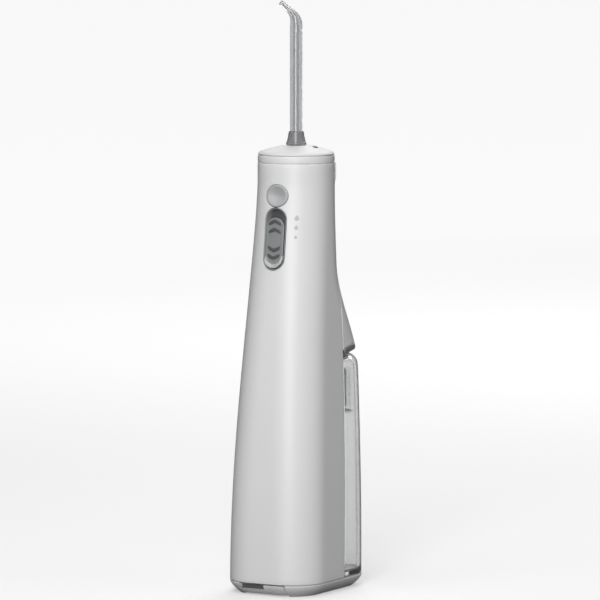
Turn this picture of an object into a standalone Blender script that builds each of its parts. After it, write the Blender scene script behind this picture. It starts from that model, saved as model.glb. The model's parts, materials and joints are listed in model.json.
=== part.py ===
"""Battery-powered water flosser.

A white housing on an oval plinth carries a removable clear reservoir at its back, a turning
nozzle knob with a bent jet tip on top, and, inside, three cells, a motor and a crank-driven pump.

Frame: +Z up, origin on the floor at the middle of the footprint, -Y is the switch side and +Y
the reservoir side. The jet tip's axis is the Z axis. Sizes below are millimetres; every mesh is
written in metres.
"""

import math

import bmesh
import bpy
from mathutils import Matrix, Vector

MM = 0.001

# Housing outline
NECK_RADIUS = 19.3
BASE_HALF_WIDTH = 26.0
BASE_REACH = 35.8
FLARE_TOP = 205.0
WIDTH_FLARE_POWER = 1.5
FRONT_FLARE_POWER = 1.15
SHOULDER_TOP = 165.0
SHOULDER_FOOT = 108.0
TANK_CORNER_TOP = 16.5
TANK_CORNER_BASE = 19.5
CORNER_STEPS = 8
MIN_FLAT = 0.25
WALL = 2.0
GAP = 0.3

# Heights
PLINTH_TOP = 6.0
HOUSING_TOP = 215.5
KNOB_BASE = 219.5
KNOB_TOP = 224.1
COLLAR_TOP = 231.0
TIP_BEND_START = 284.8
TANK_BASE = 6.5
TANK_TOP = 118.0
SHOULDER_FLOOR = 121.0

# Reservoir front plane, which leans back slightly
SPLIT_BASE = 3.2
SPLIT_LEAN = 0.043

# Plinth
PLINTH_TAPER = 5.0
DOOR_HALF_WIDTH = 15.4
DOOR_FRONT = -27.0
DOOR_BACK = 0.5
DOOR_PANEL_BACK = -0.9
TAB_HALF_WIDTH = 13.2
DOOR_PIN_Y = 1.7
DOOR_PIN_Z = 2.3

# Cells
CELL_RADIUS = 7.25
CELL_BASE = 9.3
CELL_LENGTH = 50.5
CELL_PLACES = {"cell_left": (-7.6, -8.0), "cell_right": (7.6, -8.0), "cell_front": (0.0, -21.2)}

# Drive
MOTOR_Y = -15.0
MOTOR_RADIUS = 10.2
MOTOR_BASE = 64.3
MOTOR_TOP = 89.3
GEAR_MODULE = 0.8
PINION_TEETH = 8
GEAR_TEETH = 32
MESH_HEIGHT = 94.4
PINION_RADIUS = 0.5 * GEAR_MODULE * PINION_TEETH
GEAR_RADIUS = 0.5 * GEAR_MODULE * GEAR_TEETH
GEAR_Z = MESH_HEIGHT + GEAR_RADIUS
GEAR_FACE_Y = MOTOR_Y + PINION_RADIUS + 1.1
GEAR_THICKNESS = 2.5
CRANK_THROW = 2.0
CRANK_PIN_RADIUS = 1.25
AXLE_RADIUS = 1.5

# Pump
PUMP_Y = -6.4
ROD_LENGTH = 18.0
ROD_EYE_RADIUS = 2.4
CYLINDER_BASE = 140.3
CYLINDER_TOP = 161.0
CYLINDER_BORE = 5.0
VALVE_X = 4.5
VALVE_SEAT_Z = 163.8

# Switch and eject button
SWITCH_Z = 178.35
SWITCH_WIDTH = 12.3
SWITCH_LENGTH = 31.3
SLIDER_LENGTH = 25.4
SLIDER_WIDTH = 10.4
EJECT_Z = 199.8
EJECT_WIDTH = 12.4
EJECT_HEIGHT = 11.2

# Fill door
FILL_HALF_WIDTH = 11.5
FILL_LOW = 86.0
FILL_HIGH = 110.5
FILL_PIN_Y = 34.2
FILL_PIN_Z = 87.4

# Docking port
PORT_Z = 18.0

COLOURS = {
    "white_abs": ((0.86, 0.86, 0.86), 0.35, 0.0),
    "light_grey": ((0.55, 0.56, 0.57), 0.4, 0.0),
    "mid_grey": ((0.33, 0.34, 0.35), 0.45, 0.0),
    "dark_grey": ((0.10, 0.10, 0.11), 0.5, 0.0),
    "clear_tip": ((0.62, 0.64, 0.66), 0.15, 0.0),
    "clear_tank": ((0.70, 0.72, 0.74), 0.2, 0.0),
    "rubber": ((0.05, 0.05, 0.05), 0.7, 0.0),
    "steel": ((0.62, 0.62, 0.62), 0.3, 1.0),
    "nickel": ((0.72, 0.70, 0.66), 0.3, 1.0),
    "cell_jacket": ((0.12, 0.14, 0.17), 0.35, 0.0),
    "board": ((0.05, 0.25, 0.12), 0.5, 0.0),
    "nylon": ((0.80, 0.79, 0.74), 0.5, 0.0),
    "acetal": ((0.85, 0.84, 0.80), 0.45, 0.0),
    "hose": ((0.75, 0.76, 0.76), 0.5, 0.0),
}


# ---------------------------------------------------------------- helpers

def clear_scene():
    """Remove every object that the file starts with."""
    for item in list(bpy.data.objects):
        bpy.data.objects.remove(item, do_unlink=True)


def make_material(name, colour_name):
    """Principled material for one sub-part."""
    colour, roughness, metallic = COLOURS[colour_name]
    material = bpy.data.materials.new(name)
    material.use_nodes = True
    shader = material.node_tree.nodes["Principled BSDF"]
    shader.inputs["Base Color"].default_value = (*colour, 1.0)
    shader.inputs["Roughness"].default_value = roughness
    shader.inputs["Metallic"].default_value = metallic
    return material


def make_object(name, mesh_data, colour_name, origin=(0.0, 0.0, 0.0)):
    """Turn a bmesh in millimetres into an object whose origin sits at the given point."""
    shift = Vector(origin)
    for vertex in mesh_data.verts:
        vertex.co = (vertex.co - shift) * MM
    bmesh.ops.recalc_face_normals(mesh_data, faces=mesh_data.faces)
    mesh = bpy.data.meshes.new(name)
    mesh_data.to_mesh(mesh)
    mesh_data.free()
    mesh.shade_smooth()
    mesh.set_sharp_from_angle(angle=math.radians(35.0))
    item = bpy.data.objects.new(name, mesh)
    item.location = shift * MM
    bpy.context.scene.collection.objects.link(item)
    if colour_name is None:
        item.hide_render = True
        item.display_type = "WIRE"
    else:
        mesh.materials.append(make_material(name, colour_name))
    return item


def bridge(mesh_data, rings, closed=False):
    """Join successive rings of vertices with quads; closed also joins last to first."""
    rows = [[mesh_data.verts.new(point) for point in ring] for ring in rings]
    count = len(rows[0])
    pairs = list(zip(rows, rows[1:]))
    if closed:
        pairs.append((rows[-1], rows[0]))
    for lower, upper in pairs:
        for i in range(count):
            j = (i + 1) % count
            mesh_data.faces.new((lower[i], lower[j], upper[j], upper[i]))
    if not closed:
        mesh_data.faces.new(list(reversed(rows[0])))
        mesh_data.faces.new(rows[-1])


def loft(name, rings, colour_name, origin=(0.0, 0.0, 0.0)):
    """Closed solid through rings of points, capped at both ends."""
    data = bmesh.new()
    bridge(data, rings)
    return make_object(name, data, colour_name, origin)


def turn_matrix(centre, axis):
    """Matrix that puts a Z-axis shape at centre, along the given axis."""
    rotation = Vector((0.0, 0.0, 1.0)).rotation_difference(Vector(axis)).to_matrix().to_4x4()
    return Matrix.Translation(Vector(centre)) @ rotation


def turned(name, profile, colour_name, centre=(0.0, 0.0, 0.0), axis=(0, 0, 1), steps=20,
           hollow=False, origin=None):
    """Turned solid. profile lists (radius, height); hollow profiles are closed loops."""
    place = turn_matrix(centre, axis)
    rings = []
    for radius, height in profile:
        ring = []
        for i in range(steps):
            angle = math.tau * i / steps
            point = Vector((radius * math.cos(angle), radius * math.sin(angle), height))
            ring.append(place @ point)
        rings.append(ring)
    data = bmesh.new()
    bridge(data, rings, closed=hollow)
    return make_object(name, data, colour_name, centre if origin is None else origin)


def rod(name, radius, low, high, colour_name, centre=(0.0, 0.0, 0.0), axis=(0, 0, 1), steps=20):
    """Plain round bar from low to high along its axis."""
    return turned(name, ((radius, low), (radius, high)), colour_name, centre, axis, steps)


def ring(name, inner, outer, low, high, colour_name, centre=(0.0, 0.0, 0.0), axis=(0, 0, 1),
         steps=20):
    """Plain round ring with a square section."""
    profile = ((inner, low), (outer, low), (outer, high), (inner, high))
    return turned(name, profile, colour_name, centre, axis, steps, hollow=True)


def block(name, low, high, colour_name, bevel=0.0):
    """Box between two corners, with an optional bevel."""
    data = bmesh.new()
    bmesh.ops.create_cube(data, size=1.0)
    size = [b - a for a, b in zip(low, high)]
    middle = [0.5 * (a + b) for a, b in zip(low, high)]
    bmesh.ops.scale(data, vec=size, verts=data.verts)
    bmesh.ops.translate(data, vec=middle, verts=data.verts)
    if bevel > 0.0:
        bmesh.ops.bevel(data, geom=data.edges[:], offset=bevel, segments=2, affect="EDGES")
    return make_object(name, data, colour_name, middle)


def prism(name, points, low, high, colour_name, place=None, origin=(0.0, 0.0, 0.0)):
    """Flat outline in local XY, extruded along local Z and placed by a matrix."""
    matrix = place if place is not None else Matrix.Identity(4)
    rings = [[matrix @ Vector((x, y, level)) for x, y in points] for level in (low, high)]
    return loft(name, rings, colour_name, origin)


def frame_prism(name, outer, inner, low, high, colour_name, place=None):
    """Flat ring between two outlines with equal point counts."""
    matrix = place if place is not None else Matrix.Identity(4)
    rings = []
    for points, level in ((inner, low), (outer, low), (outer, high), (inner, high)):
        rings.append([matrix @ Vector((x, y, level)) for x, y in points])
    data = bmesh.new()
    bridge(data, rings, closed=True)
    return make_object(name, data, colour_name)


def boolean(target, cutter, operation="DIFFERENCE"):
    """Boolean with a hidden cutter."""
    modifier = target.modifiers.new(cutter.name, "BOOLEAN")
    modifier.operation = operation
    modifier.object = cutter
    cutter.hide_render = True
    cutter.display_type = "WIRE"
    return target


def union(target, *others):
    """Join overlapping solids into the target."""
    for other in others:
        boolean(target, other, "UNION")
    return target


def smooth_path(points, steps):
    """Catmull-Rom curve through the given points."""
    ends = [points[0]] + list(points) + [points[-1]]
    knots = [Vector(point) for point in ends]
    path = []
    for i in range(1, len(knots) - 2):
        a, b, c, d = knots[i - 1:i + 3]
        for k in range(steps):
            t = k / steps
            path.append(0.5 * (2.0 * b + (c - a) * t + (2.0 * a - 5.0 * b + 4.0 * c - d) * t * t
                               + (3.0 * b - a - 3.0 * c + d) * t ** 3))
    path.append(knots[-2])
    return path


def sweep_rings(path, radii, sides):
    """Round rings square to a path, without twist."""
    rings = []
    side = Vector((1.0, 0.0, 0.0))
    for i, point in enumerate(path):
        ahead = path[min(i + 1, len(path) - 1)]
        behind = path[max(i - 1, 0)]
        direction = (ahead - behind).normalized()
        side = (side - direction * side.dot(direction)).normalized()
        other = direction.cross(side)
        rings.append([point + radii[i] * (math.cos(math.tau * k / sides) * side
                                          + math.sin(math.tau * k / sides) * other)
                      for k in range(sides)])
    return rings


def pipe(name, path, outer, bore, colour_name, sides=12, origin=(0.0, 0.0, 0.0)):
    """Round bar along a path, hollow if it has a bore."""
    outer_radii = outer if isinstance(outer, list) else [outer] * len(path)
    data = bmesh.new()
    rings = sweep_rings(path, outer_radii, sides)
    if bore:
        bores = bore if isinstance(bore, list) else [bore] * len(path)
        inner_rings = sweep_rings(path, bores, sides)
        bridge(data, rings + list(reversed(inner_rings)), closed=True)
    else:
        bridge(data, rings)
    return make_object(name, data, colour_name, origin)


def coil(name, centre, radius, low, high, turns, wire, colour_name, top_radius=None, steps=8):
    """Helical spring, straight or conical."""
    end_radius = radius if top_radius is None else top_radius
    count = int(turns * steps)
    path = []
    for i in range(count + 1):
        t = i / count
        angle = math.tau * turns * t
        r = radius + (end_radius - radius) * t
        height = low + wire + (high - low - 2.0 * wire) * t
        path.append(Vector((centre[0] + r * math.cos(angle), centre[1] + r * math.sin(angle), height)))
    return pipe(name, path, wire, None, colour_name, sides=4, origin=(*centre, low))


# ---------------------------------------------------------------- housing outline

def flare(z, power):
    """1 at the floor, 0 from the neck up."""
    return math.sin(0.5 * math.pi * max(0.0, 1.0 - z / FLARE_TOP)) ** power


def shoulder(z):
    """0 in the neck, 1 below the shoulder."""
    t = min(1.0, max(0.0, (SHOULDER_TOP - z) / (SHOULDER_TOP - SHOULDER_FOOT)))
    return t * t * (3.0 - 2.0 * t)


def half_width(z):
    return NECK_RADIUS + (BASE_HALF_WIDTH - NECK_RADIUS) * flare(z, WIDTH_FLARE_POWER)


def front_reach(z):
    return NECK_RADIUS + (BASE_REACH - NECK_RADIUS) * flare(z, FRONT_FLARE_POWER)


def back_reach(z):
    return NECK_RADIUS + (BASE_REACH - NECK_RADIUS) * shoulder(z)


def back_corner(z):
    share = min(1.0, max(0.0, z / TANK_TOP))
    tank_corner = TANK_CORNER_BASE + (TANK_CORNER_TOP - TANK_CORNER_BASE) * share
    return NECK_RADIUS + (tank_corner - NECK_RADIUS) * shoulder(z)


def split_y(z):
    """Front plane of the reservoir bay."""
    return SPLIT_BASE + SPLIT_LEAN * min(z, TANK_TOP)


def outline(z, inset=0.0, level=None):
    """Housing outline at height z, moved inwards by inset."""
    width = half_width(z) - inset
    front = front_reach(z) - inset
    back = back_reach(z) - inset
    front_radius = min(NECK_RADIUS - inset, width - MIN_FLAT)
    back_radius = min(back_corner(z) - inset, width - MIN_FLAT)
    corners = (
        (width - front_radius, front_radius - front, front_radius, -90.0),
        (width - back_radius, back - back_radius, back_radius, 0.0),
        (back_radius - width, back - back_radius, back_radius, 90.0),
        (front_radius - width, front_radius - front, front_radius, 180.0),
    )
    height = z if level is None else level
    points = []
    for x, y, radius, start in corners:
        for i in range(CORNER_STEPS + 1):
            angle = math.radians(start + 90.0 * i / CORNER_STEPS)
            points.append(Vector((x + radius * math.cos(angle), y + radius * math.sin(angle), height)))
    return points


def levels(low, high, count):
    return [low + (high - low) * i / count for i in range(count + 1)]


def behind_plane(name, offset, low, high):
    """Cutter that covers everything behind the reservoir bay's front plane."""
    far = 60.0
    rings = []
    for z in (low, TANK_TOP, high):
        y = split_y(z) + offset
        rings.append([(-far, y, z), (far, y, z), (far, far, z), (-far, far, z)])
    return loft(name, rings, None)


def ahead_of_plane(name, offset, low, high):
    """Cutter that covers everything in front of the reservoir bay's front plane."""
    far = 60.0
    rings = []
    for z in (low, TANK_TOP, high):
        y = split_y(z) + offset
        rings.append([(-far, -far, z), (far, -far, z), (far, y, z), (-far, y, z)])
    return loft(name, rings, None)


def front_face_matrix(z):
    """Local frame on the front face: X across, Y up the slope, Z outwards."""
    step = 5.0
    rise = Vector((0.0, front_reach(z - step) - front_reach(z + step), 2.0 * step)).normalized()
    across = Vector((1.0, 0.0, 0.0))
    outward = across.cross(rise)
    matrix = Matrix((across, rise, outward)).transposed().to_4x4()
    return Matrix.Translation(Vector((0.0, -front_reach(z), z))) @ matrix


def capsule(width, length, steps=8):
    """Upright capsule outline."""
    radius = 0.5 * width
    points = []
    for sign, start in ((1.0, 0.0), (-1.0, 180.0)):
        for i in range(steps + 1):
            angle = math.radians(start + 180.0 * i / steps)
            centre = sign * (0.5 * length - radius)
            points.append((radius * math.cos(angle), centre + radius * math.sin(angle)))
    return points


def ellipse(width, height, steps=20):
    return [(0.5 * width * math.cos(math.tau * i / steps), 0.5 * height * math.sin(math.tau * i / steps))
            for i in range(steps)]


def rounded_box(low_x, high_x, low_y, high_y, radius, steps=5):
    """Rectangle with round corners."""
    corners = ((high_x - radius, low_y + radius, -90.0), (high_x - radius, high_y - radius, 0.0),
               (low_x + radius, high_y - radius, 90.0), (low_x + radius, low_y + radius, 180.0))
    points = []
    for x, y, start in corners:
        for i in range(steps + 1):
            angle = math.radians(start + 90.0 * i / steps)
            points.append((x + radius * math.cos(angle), y + radius * math.sin(angle)))
    return points


# ---------------------------------------------------------------- housing

def build_front_housing():
    base = PLINTH_TOP + GAP
    shell = loft("front_housing", [outline(z) for z in levels(base, HOUSING_TOP, 14)], "white_abs")
    inside = loft("front_hollow", [outline(z, WALL) for z in levels(0.0, 222.0, 10)], None)
    boolean(shell, inside)
    boolean(shell, behind_plane("front_back_cut", 0.0, -5.0, 230.0))
    switch_hole = prism("switch_hole", capsule(SWITCH_WIDTH + 2 * GAP, SWITCH_LENGTH + 2 * GAP),
                        -8.0, 8.0, None, front_face_matrix(SWITCH_Z))
    boolean(shell, switch_hole)
    eject_hole = prism("eject_hole", ellipse(EJECT_WIDTH + 2 * GAP, EJECT_HEIGHT + 2 * GAP),
                       -8.0, 8.0, None, front_face_matrix(EJECT_Z))
    boolean(shell, eject_hole)


def build_rear_cover():
    def lip(z):
        return -0.6 if z > 207.0 else 0.0
    heights = levels(SHOULDER_FLOOR, 166.0, 9) + [186.0, 204.5, 207.5, HOUSING_TOP]
    shell = loft("rear_cover", [outline(z, lip(z)) for z in heights], "white_abs")
    inner_heights = levels(SHOULDER_FLOOR + WALL, 166.0, 7) + [222.0]
    boolean(shell, loft("rear_hollow", [outline(z, WALL) for z in inner_heights], None))
    boolean(shell, ahead_of_plane("rear_front_cut", GAP, 100.0, 230.0))
    for side in (-1.0, 1.0):
        boolean(shell, latch_block("latch_pocket", side, 0.4, 4.0, None))
    boolean(shell, rod("cover_screw_hole", 1.5, 8.0, 24.0, None, (0.0, 0.0, 195.0), (0, 1, 0)))
    boolean(shell, rod("cover_screw_sink", 2.7, 18.2, 24.0, None, (0.0, 0.0, 195.0), (0, 1, 0)))
    turned("cover_screw", ((1.1, 9.0), (1.1, 18.4), (2.3, 18.5), (2.3, 19.1), (1.6, 19.3)), "steel",
           (0.0, 0.0, 195.0), (0, 1, 0), 12)


def build_plinth():
    rings = []
    for share in (0.0, 0.3, 0.6, 0.85, 1.0):
        inset = PLINTH_TAPER * (1.0 - share) ** 1.6
        rings.append(outline(PLINTH_TOP, inset, PLINTH_TOP * share))
    plinth = loft("base_plinth", rings, "white_abs")
    opening = prism("door_opening", rounded_box(-DOOR_HALF_WIDTH, DOOR_HALF_WIDTH, DOOR_FRONT,
                                                DOOR_BACK, 3.0), -1.0, 8.0, None)
    boolean(plinth, opening)
    boolean(plinth, block("tab_notch", (-TAB_HALF_WIDTH, -40.0, -1.0), (TAB_HALF_WIDTH, -20.0, 8.0), None))
    boolean(plinth, block("knuckle_notch", (-8.3, -4.0, -1.0), (8.3, 3.7, 8.0), None))
    boolean(plinth, rod("door_pin_bore", 0.95, -12.5, 12.5, None, (0.0, DOOR_PIN_Y, DOOR_PIN_Z), (1, 0, 0)))
    for side, label in ((-1.0, "left"), (1.0, "right")):
        place = (side * 18.2, -8.0, 0.0)
        boolean(plinth, rod("base_screw_hole_" + label, 1.4, -1.0, 9.0, None, place))
        boolean(plinth, rod("base_screw_sink_" + label, 2.4, -1.0, 2.6, None, place))
        turned("base_screw_" + label, ((2.1, 0.8), (2.1, 2.3), (1.1, 2.5), (1.1, 12.0)), "steel", place,
               steps=12)
    rod("battery_door_pin", 0.75, -12.0, 12.0, "steel", (0.0, DOOR_PIN_Y, DOOR_PIN_Z), (1, 0, 0), 12)


def build_battery_door():
    rings = []
    for share in (0.0, 0.3, 0.6, 0.85, 1.0):
        inset = PLINTH_TAPER * (1.0 - share) ** 1.6
        rings.append(outline(PLINTH_TOP, inset, PLINTH_TOP * share))
    pivot = (0.0, DOOR_PIN_Y, DOOR_PIN_Z)
    door = prism("battery_door", rounded_box(GAP - DOOR_HALF_WIDTH, DOOR_HALF_WIDTH - GAP,
                                             DOOR_FRONT + GAP, DOOR_PANEL_BACK, 2.8),
                 0.8, 3.2, "white_abs", origin=pivot)
    tab = loft("door_tab", rings, None)
    reach = block("door_tab_reach", (GAP - TAB_HALF_WIDTH, -40.0, 0.8), (TAB_HALF_WIDTH - GAP, -26.0, 5.7),
                  None)
    boolean(tab, reach, "INTERSECT")
    knuckle = rod("door_knuckle", 1.45, -8.0, 8.0, None, pivot, (1, 0, 0))
    web = block("door_web", (-8.0, -4.0, 0.9), (8.0, DOOR_PIN_Y, 3.1), None)
    union(door, tab, web, knuckle)
    boolean(door, rod("door_knuckle_bore", 0.95, -9.0, 9.0, None, pivot, (1, 0, 0)))
    boolean(door, block("door_tab_recess", (-11.5, -40.0, 4.3), (1.5, -33.4, 6.5), None))
    frame_prism("battery_door_seal", rounded_box(-14.6, 14.6, -25.6, -1.0, 3.0),
                rounded_box(-13.2, 13.2, -24.4, -2.2, 2.0), 3.5, 4.5, "rubber")
    prism("battery_plate_door", rounded_box(-12.6, 12.6, -23.8, -2.8, 4.0), 3.5, 4.1, "nickel")
    for name, place in CELL_PLACES.items():
        label = name.replace("cell_", "battery_spring_")
        coil(label, (place[0] * 0.8, max(place[1], -19.0)), 3.6, 4.3, 9.0, 2.0, 0.3, "steel", 1.8)


def build_tank_bay_wall():
    rings = []
    for z in levels(TANK_BASE + GAP, SHOULDER_FLOOR - GAP, 6):
        width = half_width(z) - WALL - GAP
        y = split_y(z)
        rings.append([(-width, y - WALL - 0.2, z), (width, y - WALL - 0.2, z), (width, y - 0.1, z),
                      (-width, y - 0.1, z)])
    wall = loft("tank_bay_wall", rings, "white_abs")
    boolean(wall, rod("port_wall_hole", 2.6, -6.0, 12.0, None, (0.0, 0.0, PORT_Z), (0, 1, 0)))


def build_neck_parts():
    turned("neck_ring", ((12.1, 215.9), (19.0, 215.9), (19.3, 216.2), (19.3, 218.8), (19.0, 219.1),
                         (12.1, 219.1)), "white_abs", steps=36, hollow=True)
    neck_frame = ring("neck_frame", 8.4, 16.9, 206.2, 208.2, "nylon", steps=24)
    boolean(neck_frame, block("clip_slot", (-4.6, -17.8, 205.0), (4.6, -10.4, 210.0), None))
    turned("nozzle_seat", ((1.5, 201.0), (2.6, 201.0), (2.6, 205.0), (8.0, 206.4), (8.0, 208.4),
                           (6.0, 209.4), (6.0, 214.0), (3.9, 214.0), (3.9, 205.6), (1.5, 205.6)),
           "nylon", hollow=True)
    ring("seat_oring", 3.25, 3.75, 210.5, 211.8, "rubber")


# ---------------------------------------------------------------- nozzle

def build_knob():
    turned("nozzle_knob", ((3.6, 216.3), (11.7, 216.3), (11.7, KNOB_BASE), (19.0, KNOB_BASE),
                           (19.2, 219.8), (19.0, 220.3), (17.2, 221.3), (14.0, 222.3), (10.0, 223.3),
                           (6.8, KNOB_TOP), (3.6, KNOB_TOP)), "white_abs", steps=36, hollow=True)


def build_tip():
    bend_angle = math.radians(48.0)
    bend_radius = 9.0
    nose_length = 6.6
    heading = Vector((-math.cos(math.radians(30.0)), -math.sin(math.radians(30.0)), 0.0))
    start = Vector((0.0, 0.0, TIP_BEND_START))
    path = [Vector((0.0, 0.0, 206.4)), Vector((0.0, 0.0, 232.0)), Vector((0.0, 0.0, 262.0))]
    bend_steps = 6
    for i in range(bend_steps + 1):
        angle = bend_angle * i / bend_steps
        path.append(start + heading * bend_radius * (1.0 - math.cos(angle))
                    + Vector((0.0, 0.0, bend_radius * math.sin(angle))))
    direction = heading * math.sin(bend_angle) + Vector((0.0, 0.0, math.cos(bend_angle)))
    path.append(path[-1] + direction * nose_length * 0.5)
    path.append(path[-1] + direction * nose_length * 0.5)
    shaft_radius = 3.1
    nose_radius = 1.35
    taper = len(path) - 4
    outer = [shaft_radius] * 4 + [shaft_radius + (nose_radius - shaft_radius) * (i + 1) / taper
                                  for i in range(taper)]
    bore = [1.6] * 4 + [1.6 + (0.45 - 1.6) * (i + 1) / taper for i in range(taper)]
    pipe("jet_tip", path, outer, bore, "clear_tip", sides=16)
    turned("tip_collar", ((3.4, 224.4), (5.1, 224.4), (5.1, 225.2), (3.75, COLLAR_TOP), (3.4, COLLAR_TOP)),
           "mid_grey", hollow=True)


def build_eject():
    place = front_face_matrix(EJECT_Z)
    button = prism("eject_button", ellipse(EJECT_WIDTH, EJECT_HEIGHT), -2.6, 0.4, "light_grey", place,
                   (0.0, -front_reach(EJECT_Z), EJECT_Z))
    union(button, rod("eject_stem", 1.8, -3.7, -2.0, None, place.translation, place.col[2].xyz))
    leg_y = -15.6
    clip = block("eject_clip", (-4.0, leg_y, 197.5), (4.0, leg_y + 1.2, 215.5), "nylon")
    tray = block("clip_tray", (-6.5, leg_y + 0.6, 214.4), (6.5, 8.5, 215.5), None)
    union(clip, tray)
    boolean(clip, prism("clip_window", rounded_box(-3.6, 3.6, -6.0, 3.8, 3.5, 6), 212.0, 218.0, None))


# ---------------------------------------------------------------- switch

def build_switch():
    place = front_face_matrix(SWITCH_Z)
    bezel = prism("switch_bezel", capsule(SWITCH_WIDTH, SWITCH_LENGTH), -4.2, 0.0, "dark_grey", place)
    pocket = prism("bezel_pocket", capsule(SWITCH_WIDTH - 1.2, SWITCH_LENGTH - 1.2), -3.2, 3.0, None, place)
    boolean(bezel, pocket)
    boolean(bezel, prism("bezel_slot", rounded_box(-1.8, 1.8, -9.0, 7.0, 1.7, 3), -6.0, 0.0, None, place))
    low_end = -0.5 * (SWITCH_LENGTH - 1.2) + GAP
    middle = low_end + 0.5 * SLIDER_LENGTH
    slider_place = place @ Matrix.Translation(Vector((0.0, middle, 0.0)))
    slider = prism("switch_slider", capsule(SLIDER_WIDTH, SLIDER_LENGTH), -2.6, 0.2, "mid_grey",
                   slider_place, tuple(slider_place.translation))
    stem = prism("slider_stem", rounded_box(-1.4, 1.4, -4.0, 1.0, 1.0, 3), -5.4, -2.0, None, slider_place)
    union(slider, stem)
    for i, (height, up) in enumerate(((9.0, 1.0), (5.0, 1.0), (-5.4, -1.0), (-9.4, -1.0))):
        chevron = [(-3.6, -1.9 * up), (0.0, 0.0), (3.6, -1.9 * up), (3.6, -0.7 * up), (0.0, 1.2 * up),
                   (-3.6, -0.7 * up)]
        ridge_place = slider_place @ Matrix.Translation(Vector((0.0, height, 0.0)))
        outline_points = chevron if up > 0 else list(reversed(chevron))
        union(slider, prism("chevron_%d" % i, outline_points, -0.4, 0.8, None, ridge_place))
    prism("contact_slide", rounded_box(-3.0, 3.0, -6.0, 3.0, 0.8, 2), -6.6, -5.7, "nickel", slider_place)
    prism("switch_board", rounded_box(-7.0, 7.0, -17.0, 15.0, 1.0, 2), -8.4, -7.0, "board", place)


# ---------------------------------------------------------------- reservoir

def tank_rings(inset, low, high, round_radius):
    """Outline rings with a rounded top edge."""
    rings = [outline(z, inset) for z in levels(low, high - round_radius, 6)]
    for i in range(1, 4):
        angle = 0.5 * math.pi * i / 3
        z = high - round_radius * (1.0 - math.sin(angle))
        extra = round_radius * (1.0 - math.cos(angle)) * 0.9
        rings.append(outline(high - round_radius, inset + extra, z))
    return rings


def build_reservoir():
    tank = loft("reservoir", tank_rings(GAP, TANK_BASE, TANK_TOP, 5.0), "clear_tank",
                origin=(0.0, BASE_REACH, 0.5 * TANK_TOP))
    boolean(tank, ahead_of_plane("tank_front_cut", GAP, -5.0, 130.0))
    hollow = loft("tank_hollow", tank_rings(GAP + WALL, TANK_BASE + WALL, TANK_TOP - WALL, 4.0), None)
    boolean(hollow, ahead_of_plane("hollow_front_cut", GAP + WALL, -5.0, 130.0))
    boolean(tank, hollow)
    boolean(tank, block("fill_mouth", (-FILL_HALF_WIDTH, 24.0, FILL_LOW), (FILL_HALF_WIDTH, 45.0, FILL_HIGH),
                        None))
    pivot = (0.0, FILL_PIN_Y, FILL_PIN_Z)
    boolean(tank, rod("fill_pin_bore", 0.6, -13.2, 13.2, None, pivot, (1, 0, 0), 12))
    boolean(tank, rod("tank_port_hole", 3.3, 0.0, 12.0, None, (0.0, 0.0, PORT_Z), (0, 1, 0)))
    rod("fill_door_pin", 0.45, -13.0, 13.0, "steel", pivot, (1, 0, 0), 12)
    pickup = smooth_path(((0.0, 9.3, PORT_Z), (0.0, 10.8, PORT_Z - 0.4), (0.0, 12.2, PORT_Z - 2.2),
                          (0.0, 12.4, 9.0)), 1)
    pipe("pickup_tube", pickup, 2.2, 1.3, "hose", sides=10)


def build_fill_door():
    pivot = (0.0, FILL_PIN_Y, FILL_PIN_Z)
    low = FILL_PIN_Z
    high = FILL_HIGH - GAP
    half = FILL_HALF_WIDTH - GAP
    heights = levels(low, high, 3)
    door = loft("fill_door", [outline(z, GAP) for z in heights], "clear_tank", pivot)
    inside = loft("fill_door_inside", [outline(z, GAP + WALL) for z in levels(low - 2.0, high + 2.0, 3)], None)
    boolean(door, inside)
    boolean(door, block("fill_door_bounds", (-half, 24.0, low - 1.0), (half, 45.0, high + 1.0), None),
            "INTERSECT")
    union(door, rod("fill_knuckle", 1.1, -half, half, None, pivot, (1, 0, 0), 16))
    boolean(door, rod("fill_knuckle_bore", 0.65, -14.0, 14.0, None, pivot, (1, 0, 0), 12))
    prism("fill_door_seal", rounded_box(-9.6, 9.6, -10.0, 10.0, 2.0, 3), 0.0, 1.2, "rubber",
          Matrix.Translation(Vector((0.0, 32.4, 99.2))) @ Matrix.Rotation(math.radians(90.0), 4, "X"))


def latch_block(name, side, grow, depth, colour_name):
    """Slanted side latch; depth is how far it reaches inwards of the outer face."""
    angle = math.radians(11.0)
    z = 121.2
    outer = half_width(z) + (6.0 if colour_name is None else 0.35)
    inner = half_width(z) - depth
    points = rounded_box(-5.4 - grow, 5.4 + grow, -1.6 - grow, 1.6 + grow, 1.4, 3)
    place = (Matrix.Translation(Vector((0.0, 15.2, z))) @ Matrix.Rotation(angle, 4, "X")
             @ Matrix(((0, 0, side, 0), (1, 0, 0, 0), (0, 1, 0, 0), (0, 0, 0, 1))))
    return prism(name, points, inner, outer, colour_name, place)


def build_latches():
    latch_block("reservoir_latch_left", -1.0, 0.0, 1.8, "dark_grey")
    latch_block("reservoir_latch_right", 1.0, 0.0, 1.8, "dark_grey")


# ---------------------------------------------------------------- power and drive

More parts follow.
